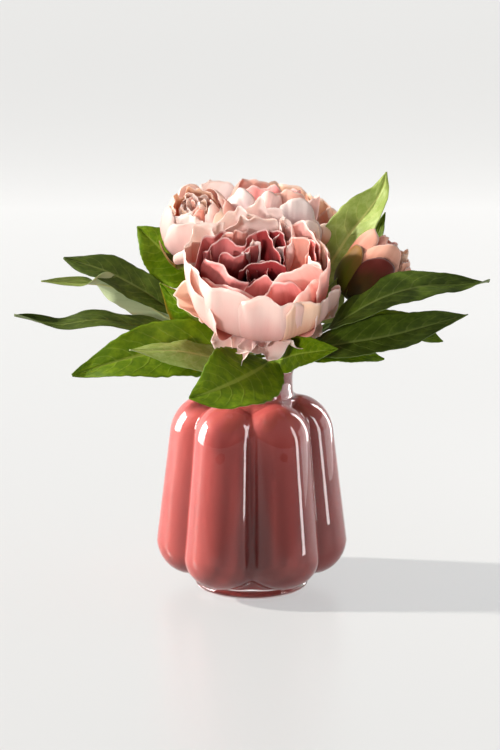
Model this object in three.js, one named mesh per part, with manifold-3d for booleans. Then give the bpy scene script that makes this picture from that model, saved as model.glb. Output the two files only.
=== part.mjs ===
// Artificial peony arrangement in a six-lobed glass bud vase.
// Millimetres, +Z up, +X right, +Y to the back. The origin is the centre of the vase's foot.
import * as THREE from "three";
import { mergeVertices } from "three/addons/utils/BufferGeometryUtils.js";
import Module from "manifold-3d";

const wasm = await Module();
wasm.setup();

// ---------- driving dimensions ----------

const GAP = 0.3; // clearance between pieces that touch

const VASE = {
  lobes: 6,
  segments: 48,
  arcSteps: 5,
  wall: 3.5,
  footRadius: 44.5,
  footHeight: 6,
  floorHeight: 7,
  neckOuter: 33,
  neckInner: 29,
  shoulderHeight: 152,
  height: 176,
};
// Each arc of the vase's side: centre (radius, height), half axes, and the angles it runs between.
const CREST_ARCS = [
  { centre: [48.6, 38], radii: [27, 29], from: -80, to: -4 },
  { centre: [34.4, 121], radii: [30, 32.5], from: 5, to: 90 },
];
const GROOVE_ARCS = [
  { centre: [45.5, 30], radii: [12, 13], from: -75, to: -4 },
  { centre: [34.5, 130], radii: [14, 16], from: 6, to: 90 },
];

const STEM_RADIUS = 2.2;
const STEM_SIDES = 8;
const STEM_STEPS = 18;
const RECEPTACLE = { radius: 5, neck: 4, height: 17 };

const PETAL_THICKNESS = 0.7;
const LEAF_THICKNESS = 0.7;
const STALK_WIDTH = 2.4;
const STALK_THICKNESS = 1.8;
const STALK_BEND = 4; // how far from the stem the stalk turns to the leaf's way
const STALK_SHARE = 0.16; // how much of a leaf's length is bare stalk

// ---------- colours ----------

const finish = (color, roughness) => ({ color, roughness, metalness: 0 });
const GLASS_PINK = finish(0xb96a6c, 0.08);
const STEM_GREEN = finish(0x5c7d3a, 0.6);
const LEAF_GREEN = finish(0x3f6b2e, 0.55);
const LEAF_PALE = finish(0x8fa468, 0.6);
const LEAF_DARK = finish(0x2f5427, 0.55);
const PETAL_CREAM = finish(0xf3d5ca, 0.75);
const PETAL_PINK = finish(0xe5a9a4, 0.75);
const PETAL_ROSE = finish(0xb8585d, 0.75);
const SEPAL_OLIVE = finish(0x77803f, 0.65);
const SEPAL_MAROON = finish(0x6b2f33, 0.65);

// ---------- helpers ----------

const object = new THREE.Group();

const vector = (p) => new THREE.Vector3(...p);
const radians = THREE.MathUtils.degToRad;

function addPiece(name, geometry, look) {
  const piece = new THREE.Mesh(geometry, new THREE.MeshStandardMaterial(look));
  piece.name = name;
  object.add(piece);
}

// A closed thin slab bent to the surface place(u, v), u from -1 to 1 across and v from 0 to 1 along.
function bentSheet(across, along, thicknessAt, place) {
  const slab = new THREE.BoxGeometry(2, 1, 1, across, along, 1);
  const corner = slab.getAttribute("position");
  const step = 1e-3;
  for (let i = 0; i < corner.count; i += 1) {
    const u = corner.getX(i);
    const v = corner.getY(i) + 0.5;
    const side = corner.getZ(i);
    const alongU = place(u + step, v).sub(place(u - step, v));
    const alongV = place(u, v + step).sub(place(u, v - step));
    const normal = alongU.cross(alongV).normalize();
    const point = place(u, v).addScaledVector(normal, side * thicknessAt(v));
    corner.setXYZ(i, point.x, point.y, point.z);
  }
  slab.computeVertexNormals();
  return slab;
}

function solidFrom(geometry) {
  const bare = geometry.clone().deleteAttribute("normal").deleteAttribute("uv");
  const merged = mergeVertices(bare, 1e-4);
  return new wasm.Manifold(
    new wasm.Mesh({
      numProp: 3,
      vertProperties: merged.getAttribute("position").array,
      triVerts: new Uint32Array(merged.index.array),
    }),
  );
}

function geometryFrom(solid) {
  const mesh = solid.getMesh();
  const geometry = new THREE.BufferGeometry();
  geometry.setAttribute("position", new THREE.BufferAttribute(mesh.vertProperties, 3));
  geometry.setIndex(new THREE.BufferAttribute(mesh.triVerts, 1));
  geometry.computeVertexNormals();
  return geometry;
}

// ---------- vase ----------

function arcPoints({ centre, radii, from, to }, inset) {
  const points = [];
  for (let i = 0; i <= VASE.arcSteps; i += 1) {
    const angle = radians(from + ((to - from) * i) / VASE.arcSteps);
    const radius = centre[0] + (radii[0] - inset) * Math.cos(angle);
    const height = centre[1] + (radii[1] - inset) * Math.sin(angle);
    points.push(new THREE.Vector2(radius, height));
  }
  return points;
}

// The whole profile, outside and back down the inside, along a lobe's crest or along a groove.
function vaseProfile(arcs) {
  const { footRadius, footHeight, floorHeight, neckOuter, neckInner, shoulderHeight, height } = VASE;
  const at = (radius, z) => new THREE.Vector2(radius, z);
  const foot = [
    at(0, 0),
    at(footRadius - 3, 0),
    at(footRadius, 1),
    at(footRadius + 0.5, 3),
    at(footRadius, footHeight),
  ];
  const outside = arcs.flatMap((arc) => arcPoints(arc, 0));
  const neck = [
    at(neckOuter, shoulderHeight),
    at(neckOuter - 1, shoulderHeight + 6),
    at(neckOuter - 1, height - 6),
    at(neckOuter, height - 2),
    at(neckOuter - 2, height),
    at(neckInner, height - 1),
    at(neckInner, shoulderHeight),
  ];
  const inside = arcs.flatMap((arc) => arcPoints(arc, VASE.wall)).reverse();
  const floor = [at(footRadius - 3, floorHeight + 4), at(footRadius - 8, floorHeight), at(0, floorHeight)];
  return [...foot, ...outside, ...neck, ...inside, ...floor];
}

// Radius and height of the wall at an angle from the nearest lobe's middle: the lobe is a circle's arc
// that meets its neighbours in the groove.
function lobedPoint(crest, groove, fromLobe) {
  const halfLobe = Math.PI / VASE.lobes;
  const depth = crest.x - groove.x * Math.cos(halfLobe);
  if (crest.x - groove.x < 0.05) {
    return crest;
  }
  const centre = (crest.x ** 2 - groove.x ** 2) / (2 * depth);
  const round = crest.x - centre;
  const radius = centre * Math.cos(fromLobe) + Math.sqrt(round ** 2 - (centre * Math.sin(fromLobe)) ** 2);
  const share = (radius - groove.x) / (crest.x - groove.x);
  return new THREE.Vector2(radius, groove.y + (crest.y - groove.y) * share);
}

function vaseGeometry() {
  const crest = vaseProfile(CREST_ARCS);
  const groove = vaseProfile(GROOVE_ARCS);
  const lathe = new THREE.LatheGeometry(crest, VASE.segments);
  const corner = lathe.getAttribute("position");
  const lobeAngle = (2 * Math.PI) / VASE.lobes;
  for (let i = 0; i <= VASE.segments; i += 1) {
    const angle = (i * 2 * Math.PI) / VASE.segments;
    const fromLobe = angle - lobeAngle * Math.round(angle / lobeAngle);
    for (let j = 0; j < crest.length; j += 1) {
      const point = lobedPoint(crest[j], groove[j], fromLobe);
      const place = i * crest.length + j;
      corner.setXYZ(place, point.x * Math.cos(angle), point.x * Math.sin(angle), point.y);
    }
  }
  lathe.deleteAttribute("normal");
  lathe.computeVertexNormals();
  return lathe;
}

addPiece("vase", vaseGeometry(), GLASS_PINK);

// ---------- stems ----------

const FLOOR = VASE.floorHeight + GAP;

// Each head: where its receptacle starts, and the way it faces.
const HEADS = {
  main_bloom: { base: [5, -14, 221], axis: [0, -0.63, 0.777] },
  back_bloom: { base: [9, 60, 247], axis: [0.15, 0.35, 0.92] },
  left_bloom: { base: [-41, 41, 259], axis: [-0.1, -0.55, 0.83] },
  right_bud: { base: [77, 0, 226], axis: [0.56, 0, 0.83] },
};
// The stems stand on the vase's floor, lean together on the right of its neck and part above it.
const STEM_ROUTES = {
  main_bloom: [[18, -14, FLOOR], [18, -13, 30], [16, -9, 120], [15, -7, 176], [12, -7, 198]],
  back_bloom: [[24, 12, FLOOR], [24, 12, 30], [20, 12, 120], [17, 11, 176], [15, 22, 203], [10, 44, 226]],
  left_bloom: [[12, 22, FLOOR], [12, 22, 30], [10, 20, 120], [7, 13, 176], [-4, 22, 205], [-24, 35, 236]],
  right_bud: [[34, -4, FLOOR], [34, -4, 30], [28, -2, 120], [24, 0, 176], [42, 0, 196]],
};

function stemCurve(head) {
  const { base, axis } = HEADS[head];
  const end = vector(base);
  const before = end.clone().addScaledVector(vector(axis), -RECEPTACLE.neck * 2);
  return new THREE.CatmullRomCurve3([...STEM_ROUTES[head].map(vector), before, end]);
}

function receptacleGeometry(head) {
  const { radius, neck, height } = RECEPTACLE;
  const outline = [
    [0, -neck],
    [STEM_RADIUS, -neck],
    [radius, 0],
    [radius, height * 0.7],
    [radius * 0.6, height],
    [0, height * 1.05],
  ].map((p) => new THREE.Vector2(...p));
  const geometry = new THREE.LatheGeometry(outline, 12);
  const turn = new THREE.Quaternion().setFromUnitVectors(
    new THREE.Vector3(0, 1, 0),
    vector(HEADS[head].axis).normalize(),
  );
  geometry.applyQuaternion(turn);
  geometry.translate(...HEADS[head].base);
  return geometry;
}

const STEMS = {};
for (const head of Object.keys(HEADS)) {
  const curve = stemCurve(head);
  STEMS[head] = curve;
  const section = new THREE.Shape();
  section.absarc(0, 0, STEM_RADIUS, 0, 2 * Math.PI);
  const tube = new THREE.ExtrudeGeometry(section, {
    steps: STEM_STEPS,
    curveSegments: STEM_SIDES,
    bevelEnabled: false,
    extrudePath: curve,
  });
  const whole = solidFrom(tube).add(solidFrom(receptacleGeometry(head)));
  addPiece(`${head}_stem`, geometryFrom(whole), STEM_GREEN);
}

// The share of a stem's curve that lies below a height.
function shareBelow(head, height) {
  let low = 0;
  let high = 1;
  for (let i = 0; i < 30; i += 1) {
    const middle = (low + high) / 2;
    if (STEMS[head].getPoint(middle).z < height) {
      low = middle;
    } else {
      high = middle;
    }
  }
  return low;
}

// ---------- leaves ----------

// stem and height: where the stalk leaves the stem. spine: the points that the midrib then passes, to
// the tip. facing: the way the upper side looks at mid-length. fold: how far the edges rise, in degrees.
const LEAVES = {
  left_long_leaf: {
    stem: "left_bloom", height: 196, width: 22, facing: [0, -0.4, 0.92], fold: 12, look: LEAF_GREEN,
    spine: [[-22, 12, 192], [-50, 8, 196], [-76, 0, 206], [-97, -3, 210], [-127, -4, 213], [-160, -2, 211], [-184, 0, 216]],
  },
  left_broad_leaf: {
    stem: "main_bloom", height: 186, width: 50, facing: [0, -0.8, 0.6], fold: 10, look: LEAF_GREEN,
    spine: [[-12, -16, 189], [-34, -26, 194], [-64, -38, 196], [-100, -47, 190], [-135, -50, 179]],
  },
  left_pale_leaf: {
    stem: "main_bloom", height: 190, width: 30, facing: [0.1, -0.6, 0.8], fold: -14, look: LEAF_PALE,
    spine: [[-6, -18, 189], [-22, -32, 189], [-54, -55, 199], [-91, -62, 201]],
  },
  drooping_leaf: {
    stem: "main_bloom", height: 181, width: 48, facing: [-0.1, -0.8, 0.6], fold: 8, look: LEAF_GREEN,
    spine: [[9, -28, 181], [1, -49, 178], [-14, -69, 174], [-30, -82, 170], [-47, -88, 167]],
  },
  left_dark_leaf: {
    stem: "left_bloom", height: 216, width: 36, facing: [0, -0.5, 0.87], fold: 10, look: LEAF_DARK,
    spine: [[-32, 28, 214], [-62, 26, 217], [-86, 25, 232], [-112, 26, 246], [-148, 30, 257]],
  },
  left_narrow_leaf: {
    stem: "left_bloom", height: 205, width: 20, facing: [0.1, -0.5, 0.86], fold: 14, look: LEAF_PALE,
    spine: [[-30, 22, 203], [-60, 22, 207], [-80, 21, 218], [-97, 20, 229], [-134, 15, 239], [-164, 12, 241]],
  },
  left_small_leaf: {
    stem: "left_bloom", height: 230, width: 30, facing: [-0.3, -0.7, 0.64], fold: 16, look: LEAF_GREEN,
    spine: [[-40, 40, 238], [-60, 44, 250], [-75, 48, 262], [-93, 52, 276]],
  },
  left_bright_leaf: {
    stem: "main_bloom", height: 197, width: 32, facing: [-0.5, -0.7, 0.5], fold: 14, look: LEAF_GREEN,
    spine: [[-8, -2, 198], [-27, 2, 203], [-48, 4, 216], [-71, 6, 241]],
  },
  right_tall_leaf: {
    stem: "back_bloom", height: 206, width: 34, facing: [-0.5, -0.8, 0.33], fold: 16, look: LEAF_PALE,
    spine: [[36, 28, 220], [57, 32, 241], [76, 37, 268], [88, 41, 288], [98, 43, 303], [106, 42, 323]],
  },
  right_rear_leaf: {
    stem: "back_bloom", height: 214, width: 22, facing: [-0.1, -0.8, 0.6], fold: 10, look: LEAF_DARK,
    spine: [[46, 44, 232], [78, 52, 250], [98, 56, 268], [107, 60, 289]],
  },
  right_long_leaf: {
    stem: "right_bud", height: 199, width: 29, facing: [0, -0.5, 0.87], fold: 12, look: LEAF_DARK,
    spine: [[62, -22, 208], [85, -38, 223], [108, -41, 236], [130, -39, 243], [153, -32, 245], [180, -24, 247]],
  },
  right_dark_leaf: {
    stem: "main_bloom", height: 187, width: 40, facing: [0.05, -0.62, 0.78], fold: 10, look: LEAF_DARK,
    spine: [[32, -17, 190], [52, -26, 196], [80, -37, 203], [106, -43, 209], [135, -48, 218], [161, -50, 226]],
  },
  right_lower_leaf: {
    stem: "right_bud", height: 192, width: 34, facing: [0, -0.4, 0.92], fold: 10, look: LEAF_GREEN,
    spine: [[62, 10, 198], [92, 14, 204], [122, 13, 202], [150, 11, 194]],
  },
  right_short_leaf: {
    stem: "right_bud", height: 184, width: 22, facing: [0, -0.4, 0.92], fold: 8, look: LEAF_GREEN,
    spine: [[42, -14, 186], [74, -18, 190], [102, -15, 185]],
  },
  front_right_leaf: {
    stem: "main_bloom", height: 179, width: 24, facing: [-0.1, -0.6, 0.8], fold: 12, look: LEAF_PALE,
    spine: [[24, -28, 182], [36, -42, 190], [48, -52, 195], [63, -58, 199]],
  },
  right_inner_leaf: {
    stem: "right_bud", height: 206, width: 14, facing: [0.3, -0.9, 0.3], fold: 8, look: LEAF_DARK,
    spine: [[56, -8, 218], [60, -10, 232], [62, -11, 248]],
  },
  back_left_leaf: {
    stem: "back_bloom", height: 198, width: 34, facing: [0, 0.3, 0.95], fold: 10, look: LEAF_GREEN,
    spine: [[2, 46, 206], [-20, 88, 216], [-45, 135, 211]],
  },
  back_right_leaf: {
    stem: "back_bloom", height: 192, width: 34, facing: [0, 0.3, 0.95], fold: 10, look: LEAF_GREEN,
    spine: [[30, 48, 202], [46, 92, 213], [60, 135, 208]],
  },
};

// Half the blade's width at a share of the leaf's length: a stalk, then a lance shape with a blunt tip.
function leafHalfWidth(width, v) {
  const onBlade = THREE.MathUtils.clamp((v - STALK_SHARE) / (1 - STALK_SHARE), 0, 1);
  const lance = Math.sin(Math.PI * onBlade ** 0.8) ** 0.85 * (1 - 0.25 * onBlade);
  return Math.max(STALK_WIDTH / 2, (width / 2) * lance * 1.08);
}

function leafGeometry({ stem, height, width, facing, fold, spine }) {
  const share = shareBelow(stem, height);
  const joint = STEMS[stem].getPoint(share);
  const alongStem = STEMS[stem].getTangent(share);
  const outward = vector(spine[0]).sub(joint).projectOnPlane(alongStem).normalize();
  const start = joint.clone().addScaledVector(outward, STEM_RADIUS + GAP);
  const second = joint.clone().addScaledVector(outward, STEM_RADIUS + STALK_BEND);
  const curve = new THREE.CatmullRomCurve3([start, second, ...spine.map(vector)], false, "centripetal");
  const length = curve.getLength();
  const upper = vector(facing).normalize();
  const place = (u, v) => {
    const along = THREE.MathUtils.clamp(v, 0, 1);
    const point = curve.getPointAt(along);
    const ahead = curve.getTangentAt(along);
    point.addScaledVector(ahead, (v - along) * length);
    const sideways = ahead.clone().cross(upper).normalize().negate();
    const raised = sideways.clone().cross(ahead).normalize().negate();
    const half = leafHalfWidth(width, along);
    const rise = Math.tan(radians(fold)) * Math.abs(u) ** 1.5 * half;
    return point.addScaledVector(sideways, u * half).addScaledVector(raised, -rise);
  };
  const thickness = (v) =>
    THREE.MathUtils.lerp(STALK_THICKNESS, LEAF_THICKNESS, THREE.MathUtils.smoothstep(v, 0.05, STALK_SHARE));
  return bentSheet(4, 10, thickness, place);
}

for (const [name, leaf] of Object.entries(LEAVES)) {
  addPiece(name, leafGeometry(leaf), leaf.look);
}

// ---------- petals and sepals ----------

// A ring of petals around a head. profile: (distance from the axis, height along it) from the petal's
// seat to its tip. lean: how far one side edge stands out past the other, so that neighbours overlap.
function petalGeometry(head, { profile, lean, round = 0.14 }, turn, spread, reach) {
  const { base, axis } = HEADS[head];
  const up = vector(axis).normalize();
  const right = new THREE.Vector3(1, 0, 0).addScaledVector(up, -up.x).normalize();
  const back = up.clone().cross(right);
  const curve = new THREE.SplineCurve(profile.map((p) => new THREE.Vector2(...p)));
  const place = (u, v) => {
    const share = THREE.MathUtils.clamp(v, 0, 1) * (1 - round * u * u) * reach;
    const point = curve.getPoint(share);
    const ahead = curve.getTangent(share);
    point.addScaledVector(ahead, (v - THREE.MathUtils.clamp(v, 0, 1)) * 10);
    const stand = lean * u * (0.4 + 0.6 * share);
    const distance = point.x + ahead.y * stand;
    const height = point.y - ahead.x * stand;
    const angle = turn + spread * u * (0.75 + 0.25 * Math.sin(Math.PI * Math.min(share, 1)));
    return vector(base)
      .addScaledVector(up, height)
      .addScaledVector(right, distance * Math.cos(angle))
      .addScaledVector(back, distance * Math.sin(angle));
  };
  return bentSheet(5, 5, () => PETAL_THICKNESS, place);
}

// head and part make the name. count petals stand round from the angle start, evenly or a step apart.
// width is half a petal's angle, all in degrees; reach, when given, shortens single petals.
const SEAT = RECEPTACLE.radius + GAP + PETAL_THICKNESS;
const RINGS = [
  {
    head: "main_bloom", part: "skirt_petal", count: 5, start: -90, width: 33, look: PETAL_CREAM,
    ring: { profile: [[SEAT, 1], [20, -4], [36, -6], [48, -1]], lean: 0 },
  },
  {
    head: "main_bloom", part: "cup_petal", count: 5, start: -90, width: 44, look: PETAL_CREAM,
    ring: { profile: [[SEAT, 4.5], [28, 5], [47, 20], [55, 44], [52, 63]], lean: 2.4 },
  },
  {
    head: "main_bloom", part: "inner_petal", count: 5, start: -54, width: 42, look: PETAL_ROSE,
    ring: { profile: [[SEAT, 10], [22, 12], [34, 26], [38, 44], [34, 58]], lean: 2 },
  },
  {
    head: "back_bloom", part: "outer_petal", count: 5, start: -70, width: 43, look: PETAL_PINK,
    reach: [1, 1, 1, 0.92, 0.4],
    ring: { profile: [[SEAT, 3], [28, 4], [48, 18], [56, 38], [54, 58]], lean: 2.4 },
  },
  {
    head: "back_bloom", part: "inner_petal", count: 3, start: -30, width: 64, look: PETAL_ROSE,
    ring: { profile: [[SEAT, 8], [22, 12], [34, 26], [36, 44], [32, 54]], lean: 2 },
  },
  {
    head: "left_bloom", part: "petal", count: 4, start: -90, width: 50, look: PETAL_CREAM,
    ring: { profile: [[SEAT, 4.5], [20, 6], [28, 20], [27, 36], [19, 48]], lean: 1.6 },
  },
  {
    head: "left_bloom", part: "centre_petal", count: 2, start: 0, width: 70, look: PETAL_ROSE,
    ring: { profile: [[SEAT, 9], [14, 14], [18, 26], [16, 38], [11, 46]], lean: 1 },
  },
  {
    head: "left_bloom", part: "sepal", count: 2, start: 120, step: 90, width: 34, look: SEPAL_OLIVE,
    ring: { profile: [[SEAT, 1], [18, 1], [28, 8], [33, 22]], lean: 0 },
  },
  {
    head: "right_bud", part: "petal", count: 3, start: 0, width: 62, look: PETAL_PINK,
    ring: { profile: [[SEAT, 4], [17, 9], [23, 26], [18, 44], [9, 55]], lean: 1.4 },
  },
  {
    head: "right_bud", part: "sepal", count: 3, start: -160, width: 40, look: SEPAL_MAROON,
    ring: { profile: [[SEAT, 1], [18, 3], [26, 15], [27, 32]], lean: 0 },
  },
];

for (const { head, part, count, start, step = 360 / count, width, reach = [], ring, look } of RINGS) {
  for (let i = 0; i < count; i += 1) {
    const turn = radians(start + step * i);
    const geometry = petalGeometry(head, ring, turn, radians(width), reach[i] ?? 1);
    addPiece(`${head}_${part}_${i + 1}`, geometry, look);
  }
}

export default object;
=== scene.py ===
import math
import random

import bpy
import numpy as np
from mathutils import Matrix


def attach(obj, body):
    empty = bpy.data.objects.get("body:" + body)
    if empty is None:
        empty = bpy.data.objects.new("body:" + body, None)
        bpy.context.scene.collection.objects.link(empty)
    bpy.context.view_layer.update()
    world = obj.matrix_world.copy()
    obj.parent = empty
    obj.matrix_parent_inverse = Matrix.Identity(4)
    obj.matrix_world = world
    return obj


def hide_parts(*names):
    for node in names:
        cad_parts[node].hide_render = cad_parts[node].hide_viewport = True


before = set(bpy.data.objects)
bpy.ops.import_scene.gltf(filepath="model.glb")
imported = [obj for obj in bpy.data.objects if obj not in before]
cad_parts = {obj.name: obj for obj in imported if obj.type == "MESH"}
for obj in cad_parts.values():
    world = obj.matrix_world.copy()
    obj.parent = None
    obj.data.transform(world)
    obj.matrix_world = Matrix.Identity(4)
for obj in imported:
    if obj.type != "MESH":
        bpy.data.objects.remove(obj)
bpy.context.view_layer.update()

MM = 0.001  # the script thinks in millimetres, the scene is in metres

# ---------------------------------------------------------------- small tools


def vec(*values):
    return np.array(values, dtype=float)


def unit(v):
    return v / np.linalg.norm(v, axis=-1, keepdims=True)


def smooth(low, high, x):
    share = np.clip((x - low) / (high - low), 0.0, 1.0)
    return share * share * (3 - 2 * share)


def mix(a, b, share):
    return a + (b - a) * share


def through(points, count):
    """Evenly spaced points on a smooth curve that passes the given ones."""
    points = np.asarray(points, dtype=float)
    ends = np.vstack([2 * points[0] - points[1], points, 2 * points[-1] - points[-2]])
    fine = []
    for i in range(1, len(ends) - 2):
        p0, p1, p2, p3 = ends[i - 1 : i + 3]
        k0, k1, k2 = (np.sqrt(np.linalg.norm(b - a)) + 1e-9 for a, b in ((p0, p1), (p1, p2), (p2, p3)))
        out = ((p1 - p0) / k0 - (p2 - p0) / (k0 + k1) + (p2 - p1) / k1) * k1
        into = ((p2 - p1) / k1 - (p3 - p1) / (k1 + k2) + (p3 - p2) / k2) * k1
        t = np.linspace(0, 1, 24, endpoint=False)[:, None]
        fine.append(
            p1 + out * t + (3 * (p2 - p1) - 2 * out - into) * t**2 + (2 * (p1 - p2) + out + into) * t**3
        )
    fine.append(points[-1:])
    fine = np.vstack(fine)
    run = np.concatenate([[0], np.cumsum(np.linalg.norm(np.diff(fine, axis=0), axis=1))])
    at = np.linspace(0, run[-1], count)
    return np.stack([np.interp(at, run, fine[:, k]) for k in range(3)], axis=1)


def wander(x, rng, waves):
    """A smooth random line over x, about -1 to 1: a few sine waves of the given counts."""
    line = np.zeros_like(x)
    for count in waves:
        line = line + np.sin(2 * math.pi * (count * (0.8 + 0.4 * rng.random()) * x + rng.random()))
    return line / math.sqrt(len(waves))


# ---------------------------------------------------------------- materials


def srgb(code):
    """An sRGB hex colour as the linear values that shaders take."""
    parts = [int(code[i : i + 2], 16) / 255 for i in (1, 3, 5)]
    return tuple(c / 12.92 if c <= 0.04045 else ((c + 0.055) / 1.055) ** 2.4 for c in parts) + (1.0,)


def new_material(name):
    material = bpy.data.materials.new(name)
    material.use_nodes = True
    material.node_tree.nodes.clear()
    return material, material.node_tree


def add_node(tree, kind, settings=None, links=None):
    """Add one node. settings: its properties and unlinked sockets. links: what feeds its other sockets, each
    one output, or a node that gives its first output in use."""
    node = tree.nodes.new(kind)
    for key, value in (settings or {}).items():
        if isinstance(key, str) and hasattr(node, key):
            setattr(node, key, value)
        else:
            node.inputs[key].default_value = value
    for key, source in (links or {}).items():
        if isinstance(source, bpy.types.Node):
            source = next(output for output in source.outputs if output.enabled)
        tree.links.new(source, node.inputs[key])
    return node


MATH = "ShaderNodeMath"
NOISE = "ShaderNodeTexNoise"
STEP = "ShaderNodeMapRange"
MIX = "ShaderNodeMix"
EASED = {"interpolation_type": "SMOOTHSTEP"}
COLOURS = {"data_type": "RGBA"}
A, B = 6, 7  # the two colour sockets of a Mix node


def thin_cloth(tree, colour, bump, roughness, see_through, sheen=0.05):
    """Polyester cloth: a soft surface with sheen, and some light that comes through from behind."""
    surface = add_node(
        tree, "ShaderNodeBsdfPrincipled",
        {"Roughness": roughness, "Sheen Weight": sheen, "Sheen Roughness": 0.4,
         "Specular IOR Level": 0.3, "IOR": 1.5},
        {"Base Color": colour, "Normal": bump},
    )
    glow = add_node(tree, "ShaderNodeBsdfTranslucent", links={"Color": colour, "Normal": bump})
    both = add_node(tree, "ShaderNodeMixShader", {0: see_through}, {1: surface, 2: glow})
    add_node(tree, "ShaderNodeOutputMaterial", links={0: both})


def petal_silk(name, outer, inner, see_through=0.3, roughness=0.55, warmth=0.3, fading=0.6):
    """Dyed polyester silk, heat-pressed to shape: it looks soft and lets some light through. Its colours run
    from the seat to a paler cut edge, with fine streaks that fan out from the seat.

    outer and inner: hex colours of the two faces at the seat, the middle and the edge. warmth: how far a
    petal may turn to peach. fading: how pale the cut edge gets.
    """
    material, tree = new_material(name)
    uv = add_node(tree, "ShaderNodeUVMap", {"uv_map": "petal"})
    _, along, _ = add_node(tree, "ShaderNodeSeparateXYZ", links={0: uv}).outputs
    marks = add_node(tree, "ShaderNodeUVMap", {"uv_map": "side"})
    side, tone, _ = add_node(tree, "ShaderNodeSeparateXYZ", links={0: marks}).outputs
    # streaks: about one in 4 mm, running from the seat to the edge
    fan = add_node(tree, "ShaderNodeMapping", {"Scale": (13, 1.1, 1)}, {"Vector": uv})
    streaks = add_node(tree, NOISE, {"Scale": 1.0, "Detail": 3, "Roughness": 0.55}, {"Vector": fan})
    cloud = add_node(tree, NOISE, {"Scale": 2.6, "Detail": 2}, {"Vector": uv})
    uneven = add_node(tree, MATH, {"operation": "MULTIPLY_ADD", 1: 0.5}, {0: streaks, 2: cloud})
    length = add_node(tree, MATH, {"operation": "MULTIPLY_ADD", 1: 0.45}, {0: uneven, 2: along})
    length = add_node(tree, MATH, {"operation": "SUBTRACT", 1: 0.34}, {0: length})
    to_middle = add_node(tree, STEP, {**EASED, "From Min": 0.1, "From Max": 0.6}, {"Value": length})
    to_edge = add_node(tree, STEP, {**EASED, "From Min": 0.55, "From Max": 1.0}, {"Value": length})
    faces = []
    for seat, middle, edge in (inner, outer):
        lower = add_node(tree, MIX, {**COLOURS, A: srgb(seat), B: srgb(middle)}, {0: to_middle})
        faces.append(add_node(tree, MIX, {**COLOURS, B: srgb(edge)}, {0: to_edge, A: lower}))
    colour = add_node(tree, MIX, COLOURS, {0: side, A: faces[0], B: faces[1]})
    warm = add_node(tree, MATH, {"operation": "MULTIPLY", 1: warmth}, {0: tone})
    colour = add_node(tree, MIX, {**COLOURS, B: srgb("#F6D3A8")}, {0: warm, A: colour})
    # the last millimetre of each petal, paler towards the cut edge
    cut = add_node(tree, STEP, {**EASED, "From Min": 0.965, "From Max": 0.995}, {"Value": along})
    cut = add_node(tree, MATH, {"operation": "MULTIPLY", 1: fading}, {0: cut})
    colour = add_node(tree, MIX, {**COLOURS, B: srgb("#FDEBE2")}, {0: cut, A: colour})
    # the weave is 0.3 mm and too fine to show, so it is drawn as 1 mm crumple
    crumple = add_node(tree, NOISE, {"Scale": 40, "Detail": 3, "Roughness": 0.6}, {"Vector": uv})
    height = add_node(tree, MATH, {"operation": "MULTIPLY_ADD", 1: 0.22}, {0: crumple, 2: streaks})
    bump = add_node(tree, "ShaderNodeBump", {"Strength": 0.3, "Distance": 0.0008}, {"Height": height})
    thin_cloth(tree, colour, bump, roughness, see_through)
    return material


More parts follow.
